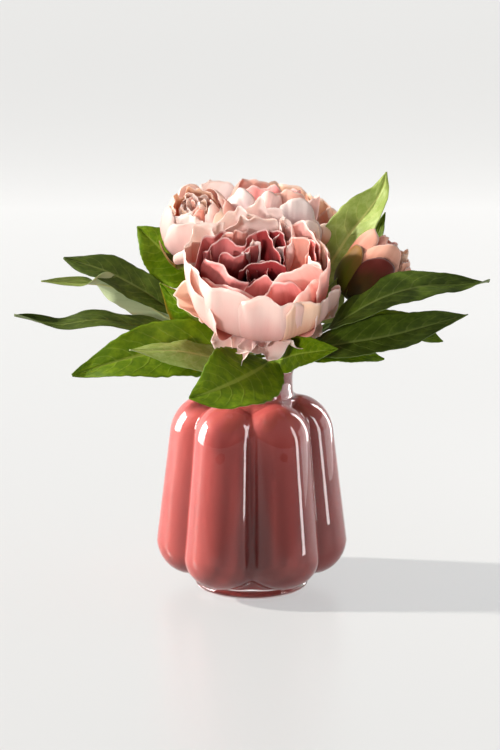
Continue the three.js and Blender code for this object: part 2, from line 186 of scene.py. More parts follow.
def leaf_cloth(name, top, mottle, rib, under, edge=None, see_through=0.22, roughness=0.48):
    """Printed polyester leaf, coated and pressed over a die: a faint gloss, a pale midrib, curved side veins
    about 8 mm apart, mottled green on top and a greyer green beneath."""
    material, tree = new_material(name)
    uv = add_node(tree, "ShaderNodeUVMap", {"uv_map": "petal"})
    across, along, _ = add_node(tree, "ShaderNodeSeparateXYZ", links={0: uv}).outputs
    marks = add_node(tree, "ShaderNodeUVMap", {"uv_map": "side"})
    side, _, _ = add_node(tree, "ShaderNodeSeparateXYZ", links={0: marks}).outputs
    off_rib = add_node(tree, MATH, {"operation": "MULTIPLY_ADD", 1: 2.0, 2: -1.0}, {0: across})
    off_rib = add_node(tree, MATH, {"operation": "ABSOLUTE"}, {0: off_rib})
    # side veins: even beats along the leaf that lag towards its edge
    bent = add_node(tree, MATH, {"operation": "POWER", 1: VEIN_BEND}, {0: off_rib})
    wobble = add_node(tree, NOISE, {"Scale": 5, "Detail": 2}, {"Vector": uv})
    lag = add_node(tree, MATH, {"operation": "MULTIPLY_ADD", 1: -VEIN_LAG}, {0: bent, 2: along})
    lag = add_node(tree, MATH, {"operation": "MULTIPLY_ADD", 1: 0.05}, {0: wobble, 2: lag})
    beat = add_node(tree, MATH, {"operation": "MULTIPLY", 1: LEAF_VEINS}, {0: lag})
    beat = add_node(tree, MATH, {"operation": "FRACT"}, {0: beat})
    centred = add_node(tree, MATH, {"operation": "SUBTRACT", 1: 0.5}, {0: beat})
    centred = add_node(tree, MATH, {"operation": "ABSOLUTE"}, {0: centred})
    vein = add_node(tree, STEP, {**EASED, "From Min": 0.09, "From Max": 0.02}, {"Value": centred})
    fade = add_node(tree, STEP, {**EASED, "From Min": 1.0, "From Max": 0.55}, {"Value": off_rib})
    vein = add_node(tree, MATH, {"operation": "MULTIPLY"}, {0: vein, 1: fade})
    midrib = add_node(tree, STEP, {**EASED, "From Min": 0.09, "From Max": 0.03}, {"Value": off_rib})
    stretch = add_node(tree, "ShaderNodeMapping", {"Scale": (5, 14, 1)}, {"Vector": uv})
    patches = add_node(tree, NOISE, {"Scale": 1.0, "Detail": 5, "Roughness": 0.65}, {"Vector": stretch})
    spots = add_node(tree, STEP, {**EASED, "From Min": 0.38, "From Max": 0.68}, {"Value": patches})
    green = add_node(tree, MIX, {**COLOURS, A: srgb(top), B: srgb(mottle)}, {0: spots})
    soft_vein = add_node(tree, MATH, {"operation": "MULTIPLY", 1: 0.22}, {0: vein})
    green = add_node(tree, MIX, {**COLOURS, B: srgb(rib)}, {0: soft_vein, A: green})
    soft_rib = add_node(tree, MATH, {"operation": "MULTIPLY", 1: 0.6}, {0: midrib})
    green = add_node(tree, MIX, {**COLOURS, B: srgb(rib)}, {0: soft_rib, A: green})
    if edge:
        rim = add_node(tree, STEP, {**EASED, "From Min": 0.7, "From Max": 1.0}, {"Value": off_rib})
        rim = add_node(tree, MATH, {"operation": "MULTIPLY", 1: 0.6}, {0: rim})
        green = add_node(tree, MIX, {**COLOURS, B: srgb(edge)}, {0: rim, A: green})
    pale = add_node(tree, MIX, {**COLOURS, A: srgb(under), B: srgb(rib)}, {0: soft_rib})
    colour = add_node(tree, MIX, COLOURS, {0: side, A: pale, B: green})
    lines = add_node(tree, MATH, {"operation": "MAXIMUM"}, {0: vein, 1: midrib})
    height = add_node(tree, MATH, {"operation": "MULTIPLY_ADD", 1: 0.35}, {0: patches, 2: lines})
    bump = add_node(tree, "ShaderNodeBump", {"Strength": 0.35, "Distance": 0.0006}, {"Height": height})
    thin_cloth(tree, colour, bump, roughness, see_through, sheen=0.0)
    return material


def pink_glass():
    """Opaque dusty-pink glass, the inner layer of cased glass: it gives the vase all of its colour, while
    the gloss comes from the clear layer over it."""
    material, tree = new_material("opaque_pink_glass")
    place = add_node(tree, "ShaderNodeTexCoord").outputs["Object"]
    # slow swirls of the gather, about 40 mm across
    swirl = add_node(tree, NOISE, {"Scale": 25, "Detail": 1}, {"Vector": place})
    share = add_node(tree, STEP, {**EASED, "From Min": 0.3, "From Max": 0.7}, {"Value": swirl})
    colour = add_node(tree, MIX, {**COLOURS, A: srgb("#8E3F3B"), B: srgb("#964540")}, {0: share})
    glass = add_node(
        tree, "ShaderNodeBsdfPrincipled",
        {"Roughness": 0.35, "IOR": 1.5, "Specular IOR Level": 0.1},
        {"Base Color": colour},
    )
    add_node(tree, "ShaderNodeOutputMaterial", links={0: glass})
    return material


def clear_glass():
    """Clear soda-lime glass, mouth-blown over the pink: fire-polished, so it is smooth and mirrors sharply,
    with a faint unevenness about 15 mm across."""
    material, tree = new_material("clear_casing_glass")
    place = add_node(tree, "ShaderNodeTexCoord").outputs["Object"]
    uneven = add_node(tree, NOISE, {"Scale": 60, "Detail": 1}, {"Vector": place})
    bump = add_node(tree, "ShaderNodeBump", {"Strength": 0.04, "Distance": 0.001}, {"Height": uneven})
    glass = add_node(
        tree, "ShaderNodeBsdfPrincipled",
        {"Base Color": srgb("#FFFAFA"), "Roughness": 0.015, "IOR": 1.5, "Transmission Weight": 1.0,
         "Specular IOR Level": 0.15},
        {"Normal": bump},
    )
    add_node(tree, "ShaderNodeOutputMaterial", links={0: glass})
    return material


def stem_sleeve():
    """Moulded polyethylene sleeve over wire: matt green with lengthwise streaks a few millimetres wide."""
    material, tree = new_material("green_stem_sleeve")
    uv = add_node(tree, "ShaderNodeUVMap", {"uv_map": "petal"})
    stretch = add_node(tree, "ShaderNodeMapping", {"Scale": (9, 4, 1)}, {"Vector": uv})
    streaks = add_node(tree, NOISE, {"Scale": 1.0, "Detail": 4}, {"Vector": stretch})
    share = add_node(tree, STEP, {**EASED, "From Min": 0.35, "From Max": 0.65}, {"Value": streaks})
    colour = add_node(tree, MIX, {**COLOURS, A: srgb("#4E6B2C"), B: srgb("#7C9A4A")}, {0: share})
    bump = add_node(tree, "ShaderNodeBump", {"Strength": 0.4, "Distance": 0.0006}, {"Height": streaks})
    sleeve = add_node(
        tree, "ShaderNodeBsdfPrincipled", {"Roughness": 0.5, "IOR": 1.5},
        {"Base Color": colour, "Normal": bump}
    )
    add_node(tree, "ShaderNodeOutputMaterial", links={0: sleeve})
    return material


# ---------------------------------------------------------------- meshes


def make_piece(name, points, faces, layers, material, nodes=()):
    """A mesh object in metres, riding on the one body, with its UV layers given per corner point."""
    mesh = bpy.data.meshes.new(name)
    mesh.from_pydata((points * MM).tolist(), [], faces)
    corners = np.empty(len(mesh.loops), dtype=np.int64)
    mesh.loops.foreach_get("vertex_index", corners)
    for layer, values in layers.items():
        mesh.uv_layers.new(name=layer).data.foreach_set("uv", values[corners].ravel())
    mesh.polygons.foreach_set("use_smooth", [True] * len(mesh.polygons))
    mesh.materials.append(material)
    mesh.update()
    piece = bpy.data.objects.new(name, mesh)
    bpy.context.scene.collection.objects.link(piece)
    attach(piece, "root")
    if nodes:
        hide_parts(*nodes)
    return piece


def grid_faces(rows, columns, start=0, flip=False):
    """Quads between neighbouring points of a grid, in rows by columns."""
    i, j = np.meshgrid(np.arange(rows - 1), np.arange(columns - 1), indexing="ij")
    a = (start + i * columns + j).ravel()
    quads = np.stack([a, a + columns, a + columns + 1, a + 1], axis=1)
    return (quads[:, ::-1] if flip else quads).tolist()


def surface_normals(sheet):
    across = np.gradient(sheet, axis=0)
    along = np.gradient(sheet, axis=1)
    normals = np.cross(across, along)
    size = np.linalg.norm(normals, axis=-1, keepdims=True)
    return normals / np.maximum(size, 1e-9)


def sheet_piece(name, sheet, thickness, material, nodes=(), tone=0.0):
    """A closed thin cloth piece around a grid of middle points, across by along."""
    rows, columns = sheet.shape[:2]
    normals = surface_normals(sheet)
    half = thickness / 2
    outer = (sheet + normals * half).reshape(-1, 3)
    inner = (sheet - normals * half).reshape(-1, 3)
    count = rows * columns
    points = np.vstack([outer, inner])
    faces = grid_faces(rows, columns) + grid_faces(rows, columns, count, flip=True)
    rim = [i * columns for i in range(rows)]
    rim += [(rows - 1) * columns + j for j in range(1, columns)]
    rim += [i * columns + columns - 1 for i in range(rows - 2, -1, -1)]
    rim += [j for j in range(columns - 2, 0, -1)]
    for a, b in zip(rim, rim[1:] + rim[:1]):
        faces.append([b, a, a + count, b + count])
    u, v = np.meshgrid(np.linspace(0, 1, rows), np.linspace(0, 1, columns), indexing="ij")
    flat = np.stack([u.ravel(), v.ravel()], axis=1)
    side = np.stack([np.repeat([1.0, 0.0], count), np.full(2 * count, tone)], axis=1)
    layers = {"petal": np.vstack([flat, flat]), "side": side}
    return make_piece(name, points, faces, layers, material, nodes)


def tube_piece(name, path, radii, material, nodes=(), sides=16):
    """A round rod along a path, with its own radius at each point and closed ends."""
    ahead = unit(np.gradient(path, axis=0))
    aside = np.cross(ahead, vec(0.3, 1, 0.1))
    aside = unit(aside)
    third = np.cross(ahead, aside)
    angle = np.linspace(0, 2 * math.pi, sides, endpoint=False)
    ring = aside[:, None] * np.cos(angle)[None, :, None] + third[:, None] * np.sin(angle)[None, :, None]
    points = (path[:, None] + ring * radii[:, None, None]).reshape(-1, 3)
    count = len(path)
    faces = []
    for i in range(count - 1):
        for j in range(sides):
            a, b = i * sides + j, i * sides + (j + 1) % sides
            faces.append([a, b, b + sides, a + sides])
    faces.append(list(range(sides))[::-1])
    faces.append([(count - 1) * sides + j for j in range(sides)])
    u, v = np.meshgrid(np.linspace(0, 1, sides), np.linspace(0, 1, count))
    layers = {"petal": np.stack([u.ravel(), v.ravel()], axis=1)}
    return make_piece(name, points, faces, layers, material, nodes)


# ---------------------------------------------------------------- camera and light

CAMERA_PLACE = (-1.4, -1335.1, 452.7)
CAMERA_DIP = 12.0  # degrees below level, looking along +Y
CAMERA_LENS = 84.0  # mm on a 36 mm long side


def add_camera():
    camera = bpy.data.cameras.new("camera")
    camera.lens = CAMERA_LENS
    camera.sensor_width = 36.0
    camera.clip_end = 50.0
    holder = bpy.data.objects.new("camera", camera)
    holder.location = [c * MM for c in CAMERA_PLACE]
    holder.rotation_euler = (math.radians(90 - CAMERA_DIP), 0, 0)
    bpy.context.scene.collection.objects.link(holder)
    bpy.context.scene.camera = holder


def add_sun(name, azimuth, elevation, strength, spread, colour, glints=True):
    """A sun that shines from an azimuth (0 is -Y, 90 is +X) and an elevation, in degrees."""
    light = bpy.data.lights.new(name, "SUN")
    light.energy = strength
    light.angle = math.radians(spread)
    light.color = srgb(colour)[:3]
    holder = bpy.data.objects.new(name, light)
    holder.rotation_euler = (math.radians(90 - elevation), 0, math.radians(azimuth))
    holder.visible_glossy = glints
    bpy.context.scene.collection.objects.link(holder)


def add_snoot(name, azimuth, elevation, distance, aim, reach, strength):
    """A snooted lamp aimed at the flowers: a soft-edged circle, reach mm about its aim."""
    light = bpy.data.lights.new(name, "SPOT")
    light.energy = strength * 4 * math.pi * (distance * MM) ** 2
    light.spot_size = 2 * math.atan(reach / distance)
    light.spot_blend = 0.6
    light.shadow_soft_size = 0.12
    holder = bpy.data.objects.new(name, light)
    turn, rise = math.radians(azimuth), math.radians(elevation)
    way = vec(math.sin(turn) * math.cos(rise), -math.cos(turn) * math.cos(rise), math.sin(rise))
    holder.location = (vec(*aim) + way * distance) * MM
    holder.rotation_euler = (math.radians(90 - elevation), 0, turn)
    holder.visible_glossy = False
    bpy.context.scene.collection.objects.link(holder)


GLASS_PIECES = bpy.data.collections.new("glass_pieces")  # what the tall panels shine on


def add_panel(name, azimuth, distance, width, low, high, radiance, only_glints=True):
    """An upright glowing panel that faces the vase, as long windows do. Sizes and heights in mm.
    only_glints: it shows in the glass alone and lights nothing else."""
    width, height = width * MM, (high - low) * MM
    light = bpy.data.lights.new(name, "AREA")
    light.shape = "RECTANGLE"
    light.size, light.size_y = width, height
    light.energy = radiance * math.pi * width * height
    holder = bpy.data.objects.new(name, light)
    turn = math.radians(azimuth)
    holder.location = (distance * MM * math.sin(turn), -distance * MM * math.cos(turn), (low + high) / 2 * MM)
    holder.rotation_euler = (math.radians(90), 0, turn)
    holder.visible_diffuse = not only_glints
    holder.visible_camera = False
    if only_glints:
        holder.light_linking.receiver_collection = GLASS_PIECES
    bpy.context.scene.collection.objects.link(holder)


FLOOR_FRONT = -5000
FLOOR_BACK = 2600
SWEEP_RADIUS = 2400
SWEEP_STEPS = 24
WALL_TOP = 4500
BACKDROP_HALF_WIDTH = 14000
# painted light: the backdrop glows though it is no lamp, which lifts the vase's shadow on it; the glow is set
# region by region
GLOW_FLOOR = "#B6B6B6"
GLOW_WALL = "#DADAD9"
GLOW_RIGHT = "#B7B7B7"
GLOW_FRONT = "#7C7C7C"


def add_backdrop():
    """A pale sheet of satin vinyl: flat under the vase, swept up far behind it, with a soft shine and a
    painted glow of its own, which lightens the cast shadows on it and keeps it even. It fades to grey in
    front of the vase, so that the glass stays dark."""
    material, tree = new_material("pale_backdrop_sheet")
    place = add_node(tree, "ShaderNodeTexCoord").outputs["Object"]
    x, y, z = add_node(tree, "ShaderNodeSeparateXYZ", links={0: place}).outputs
    to_wall = add_node(tree, STEP, {**EASED, "From Min": 0.0, "From Max": 1.2}, {"Value": z})
    rightward = add_node(tree, STEP, {**EASED, "From Min": -0.1, "From Max": 0.35}, {"Value": x})
    forward = add_node(tree, STEP, {**EASED, "From Min": -0.33, "From Max": -0.75}, {"Value": y})
    # painted light: GLOW_RIGHT is the glow on the right, where the vase's shadow falls; GLOW_FRONT and the
    # darker paint in front dim the floor that the glass mirrors
    glow = add_node(tree, MIX, {**COLOURS, A: srgb(GLOW_FLOOR), B: srgb(GLOW_RIGHT)}, {0: rightward})
    glow = add_node(tree, MIX, {**COLOURS, B: srgb(GLOW_WALL)}, {0: to_wall, A: glow})
    glow = add_node(tree, MIX, {**COLOURS, B: srgb(GLOW_FRONT)}, {0: forward, A: glow})
    shade = add_node(tree, MIX, {**COLOURS, A: srgb("#8A8A89"), B: srgb("#606060")}, {0: forward})
    grain = add_node(tree, NOISE, {"Scale": 400, "Detail": 2}, {"Vector": place})
    bump = add_node(tree, "ShaderNodeBump", {"Strength": 0.05, "Distance": 0.0005}, {"Height": grain})
    paint = add_node(
        tree, "ShaderNodeBsdfPrincipled",
        {"Roughness": 0.3, "IOR": 1.45, "Specular IOR Level": 0.3, "Emission Strength": 1.0},
        {"Base Color": shade, "Normal": bump, "Emission Color": glow},
    )
    add_node(tree, "ShaderNodeOutputMaterial", links={0: paint})
    turn = np.radians(np.linspace(0, 90, SWEEP_STEPS))
    side = [(FLOOR_FRONT, 0.0)]
    side += [(FLOOR_BACK + SWEEP_RADIUS * math.sin(a), SWEEP_RADIUS * (1 - math.cos(a))) for a in turn]
    side += [(FLOOR_BACK + SWEEP_RADIUS, WALL_TOP)]
    points = [(x, y, z) for y, z in side for x in (-BACKDROP_HALF_WIDTH, BACKDROP_HALF_WIDTH)]
    faces = [(2 * i, 2 * i + 1, 2 * i + 3, 2 * i + 2) for i in range(len(side) - 1)]
    mesh = bpy.data.meshes.new("backdrop")
    mesh.from_pydata((np.array(points) * MM).tolist(), [], faces)
    mesh.polygons.foreach_set("use_smooth", [True] * len(mesh.polygons))
    mesh.materials.append(material)
    backdrop = bpy.data.objects.new("backdrop", mesh)
    bpy.context.scene.collection.objects.link(backdrop)


def add_surround():
    """Room light: bright from above and from the left, dim from the front and the right."""
    world = bpy.data.worlds.new("surround")
    world.use_nodes = True
    tree = world.node_tree
    place = add_node(tree, "ShaderNodeTexCoord").outputs["Generated"]
    x, _, z = add_node(tree, "ShaderNodeSeparateXYZ", links={0: place}).outputs
    left = add_node(tree, STEP, {**EASED, "From Min": -0.1, "From Max": -1.0}, {"Value": x})
    above = add_node(tree, STEP, {**EASED, "From Min": -0.1, "From Max": 0.9}, {"Value": z})
    light = add_node(tree, MIX, {**COLOURS, A: srgb("#3A3A3C"), B: srgb("#7A7A79")}, {0: left})
    light = add_node(tree, MIX, {**COLOURS, B: srgb("#929496")}, {0: above, A: light})
    tree.links.new(light.outputs[2], tree.nodes["Background"].inputs["Color"])
    tree.nodes["Background"].inputs["Strength"].default_value = 1.0
    bpy.context.scene.world = world


# panels that give the glass its glints: azimuth, distance, width, lowest and highest edge, radiance
PANELS = {
    "left_window": (-88, 500, 87, 190, 400, 15),
    "left_wall": (-100, 1700, 1000, 0, 1200, 14),
    "right_window": (66, 420, 66, 0, 460, 11),
    "right_back_window": (130, 800, 150, 0, 900, 13),
}


def add_lights():
    bpy.context.scene.view_settings.view_transform = "Standard"
    add_surround()
    add_sun("key", azimuth=-94, elevation=29, strength=5.8, spread=3, colour="#FFFBF4")
    add_sun("soft_fill", azimuth=-32, elevation=38, strength=0.2, spread=80, colour="#FFFFFF", glints=False)
    add_snoot(
        "bloom_light", azimuth=-30, elevation=2, distance=1400, aim=(0, -25, 264), reach=110, strength=4.9
    )
    add_snoot(
        "back_bloom_light", azimuth=-15, elevation=16, distance=1400, aim=(15, 60, 305), reach=75,
        strength=3.3
    )
    for name, shape in PANELS.items():
        add_panel(name, *shape)
    add_panel("right_card", 105, 700, 500, 0, 400, 2.2, only_glints=False)


add_camera()
add_backdrop()
add_lights()

# ---------------------------------------------------------------- vase

VASE_LOBES = 6
VASE_SEGMENTS = 192
VASE_ARC_STEPS = 26
VASE_HEIGHT = 176
NECK_INNER = 29
WALL = 3.5
CASING = 2.3  # how much of the wall is clear
LINING_LAP = 0.25  # the pink reaches this far into the clear layer, so that no air gap shows
WALL_POINTS = 14
ROUNDING_PASSES = 2
# arcs of the side: centre (radius, height), half axes and the angles between which each runs
CREST_ARCS = [((48.6, 38), (27, 29), (-80, -4)), ((34.4, 121), (30, 32.5), (5, 90))]
GROOVE_ARCS = [((45.5, 30), (12, 13), (-75, -4)), ((34.5, 130), (14, 16), (6, 90))]


def side_profile(arcs, inset):
    """Radius and height of points from foot to shoulder, moved in by a depth."""
    parts = []
    for (centre_r, centre_z), (half_r, half_z), (low, high) in arcs:
        angle = np.radians(np.linspace(low, high, VASE_ARC_STEPS))
        r = centre_r + (half_r - inset) * np.cos(angle)
        z = centre_z + (half_z - inset) * np.sin(angle)
        parts.append(np.stack([r, z], axis=1))
    wall = np.linspace(parts[0][-1], parts[1][0], WALL_POINTS)[1:-1]
    return np.vstack([parts[0], wall, parts[1]])


def lobed(crest, groove):
    """Turn a crest profile and a groove profile into rings of a lobed body, ring by ring."""
    angle = np.linspace(0, 2 * math.pi, VASE_SEGMENTS, endpoint=False)
    lobe = 2 * math.pi / VASE_LOBES
    off = angle - lobe * np.round(angle / lobe)
    rings = []
    for (rc, zc), (rg, zg) in zip(crest, groove):
        if rc - rg < 0.05:
            radius = np.full_like(angle, rc)
            height = np.full_like(angle, zc)
        else:
            centre = (rc**2 - rg**2) / (2 * (rc - rg * math.cos(lobe / 2)))
            arc = rc - centre
            radius = centre * np.cos(off) + np.sqrt(arc**2 - (centre * np.sin(off)) ** 2)
            height = zg + (zc - zg) * (radius - rg) / (rc - rg)
        rings.append(np.stack([radius * np.cos(angle), radius * np.sin(angle), height], axis=1))
    return np.array(rings)


def soften(rings, passes):
    """Even out each ring a little, so that the grooves are rounded like blown glass."""
    for _ in range(passes):
        rings = 0.5 * rings + 0.25 * (np.roll(rings, 1, axis=1) + np.roll(rings, -1, axis=1))
    return rings


def turned_piece(name, rings, material, nodes=()):
    """A closed body from rings that start and end on the axis."""
    count, sides = rings.shape[:2]
    points = rings.reshape(-1, 3)
    bottom, top = len(points), len(points) + 1
    points = np.vstack([points, [0, 0, rings[0, 0, 2]], [0, 0, rings[-1, 0, 2]]])
    faces = []
    for i in range(count - 1):
        for j in range(sides):
            a, b = i * sides + j, i * sides + (j + 1) % sides
            faces.append([a, b, b + sides, a + sides])
    for j in range(sides):
        k = (j + 1) % sides
        faces.append([bottom, k, j])
        faces.append([top, (count - 1) * sides + j, (count - 1) * sides + k])
    layers = {"petal": np.zeros((len(points), 2))}
    return make_piece(name, points, faces, layers, material, nodes)


def round_rings(outline):
    return lobed(outline, outline)


def bead(centre_r, centre_z, radius, low, high, steps=8):
    """Points round a bead's section."""
    angle = np.radians(np.linspace(low, high, steps))
    return [(centre_r + radius * math.cos(a), centre_z + radius * math.sin(a)) for a in angle]


def lobed_wall(inset):
    """Rings of the vase's side, moved in by a depth."""
    rings = lobed(side_profile(CREST_ARCS, inset), side_profile(GROOVE_ARCS, inset))
    return soften(rings, ROUNDING_PASSES)


def build_vase():
    glass = clear_glass()
    pink = pink_glass()
    lip = NECK_INNER + 1.75
    foot = [(20, 0.9), (34, 0.6), (40, 0), (42, 0)] + bead(42.5, 2.6, 2.4, -70, 60) + [(43.2, 5.6), (43.0, 7)]
    outside = lobed_wall(0)
    neck = [(33.4, 153.4), (32.6, 155.5), (32.0, 159), (31.9, 165), (32.0, 170)]
    rim = bead(lip, VASE_HEIGHT - 2.1, 2.1, -10, 190, 12)
    throat = [(NECK_INNER + CASING * 0.4, 170), (NECK_INNER + CASING * 0.4, 156)]
    back = lobed_wall(CASING)[::-1]
    bottom = [(41.5, 12.0), (38, 8.4), (20, 7.0)]
    casing = np.concatenate(
        [round_rings(foot), outside, round_rings(neck + rim + throat), back, round_rings(bottom)]
    )
    clear = turned_piece("vase_clear_casing", casing, glass, ["vase"])
    clear.visible_shadow = False  # so that light reaches the pink layer through the clear one
    lining_out = lobed_wall(CASING - LINING_LAP)
    lining_in = lobed_wall(WALL)[::-1]
    base = [(20, 6.6), (38, 8.0), (41.9, 11.8)]
    collar = [(31.0, 152.5), (30.6, 157), (30.5, 170), (30.4, 174.2), (29.2, 174.4), (NECK_INNER, 173)]
    collar += [(NECK_INNER, 152)]
    inner_base = [(40.2, 13.5), (36, 9.6), (18, 8.6)]
    lining = np.concatenate(
        [round_rings(base), lining_out, round_rings(collar), lining_in, round_rings(inner_base)]
    )
    coloured = turned_piece("vase_pink_lining", lining, pink, ["vase"])
    for piece in (clear, coloured):
        GLASS_PIECES.objects.link(piece)


build_vase()

# ---------------------------------------------------------------- stems

STEM_RADIUS = 2.2
STEM_POINTS = 120
SEAT_POINTS = 12
RECEPTACLE_RADIUS = 5.0
RECEPTACLE_HEIGHT = 17.0
RECEPTACLE_NECK = 4.0
HEADS = {
    "main_bloom": ((5, -14, 221), (0, -0.63, 0.777)),
    "back_bloom": ((9, 60, 247), (0.15, 0.35, 0.92)),
    "left_bloom": ((-41, 41, 259), (-0.1, -0.55, 0.83)),
    "right_bud": ((77, 0, 226), (0.56, 0, 0.83)),
}
STEM_ROUTES = {
    "main_bloom": [(18, -14, 7.3), (18, -13, 30), (16, -9, 120), (15, -7, 176), (12, -7, 198)],
    "back_bloom": [(24, 12, 7.3), (24, 12, 30), (20, 12, 120), (17, 11, 176), (15, 22, 203), (10, 44, 226)],
    "left_bloom": [(12, 22, 7.3), (12, 22, 30), (10, 20, 120), (7, 13, 176), (-4, 22, 205), (-24, 35, 236)],
    "right_bud": [(34, -4, 7.3), (34, -4, 30), (28, -2, 120), (24, 0, 176), (42, 0, 196)],
}


def stem_path(head):
    base, axis = HEADS[head]
    end = vec(*base)
    before = end - unit(vec(*axis)) * RECEPTACLE_NECK * 2
    return through([vec(*p) for p in STEM_ROUTES[head]] + [before, end], STEM_POINTS)


STEM_PATHS = {head: stem_path(head) for head in HEADS}


def build_stems():
    sleeve = stem_sleeve()
    for head, (base, axis) in HEADS.items():
        path = STEM_PATHS[head]
        seat = vec(*base) + unit(vec(*axis)) * np.linspace(1.5, RECEPTACLE_HEIGHT, SEAT_POINTS)[:, None]
        swell = RECEPTACLE_RADIUS * np.sqrt(np.clip(1 - np.linspace(-0.55, 0.98, SEAT_POINTS) ** 2, 0, 1))
        knots = 1 + 0.05 * np.sin(np.linspace(0, 60, len(path)))
        radii = np.concatenate([STEM_RADIUS * knots, swell])
        whole = np.vstack([path, seat])
        tube_piece(f"{head}_stem_rod", whole, radii, sleeve, [f"{head}_stem"])


build_stems()

# ---------------------------------------------------------------- leaves

LEAF_VEINS = 12.0  # side veins along a leaf, about 8 to 12 mm apart
VEIN_LAG = 0.16  # how far back along the leaf a vein starts from where it ends, as a share of its length
VEIN_BEND = 1.25
LEAF_THICKNESS = 0.5
LEAF_GRID = (27, 96)  # points across and along
STALK_HALF_WIDTH = 1.1
STALK_SHARE = 0.16
STALK_BEND = 4.0

FRESH = leaf_cloth("fresh_green_leaf_cloth", "#5A7806", "#7C9614", "#A8B84C", "#9CAC78", see_through=0.3)
DEEP = leaf_cloth("deep_green_leaf_cloth", "#3E4E12", "#56681E", "#84904A", "#7E8C5C", see_through=0.15)
PALE = leaf_cloth("pale_green_leaf_cloth", "#90A24C", "#AAB868", "#CEC878", "#BCC69C", see_through=0.28)
FLUSHED = leaf_cloth(
    "red_edged_leaf_cloth", "#5C8408", "#86A818", "#B6C860", "#A6B886", edge="#A05A1E", see_through=0.32
)

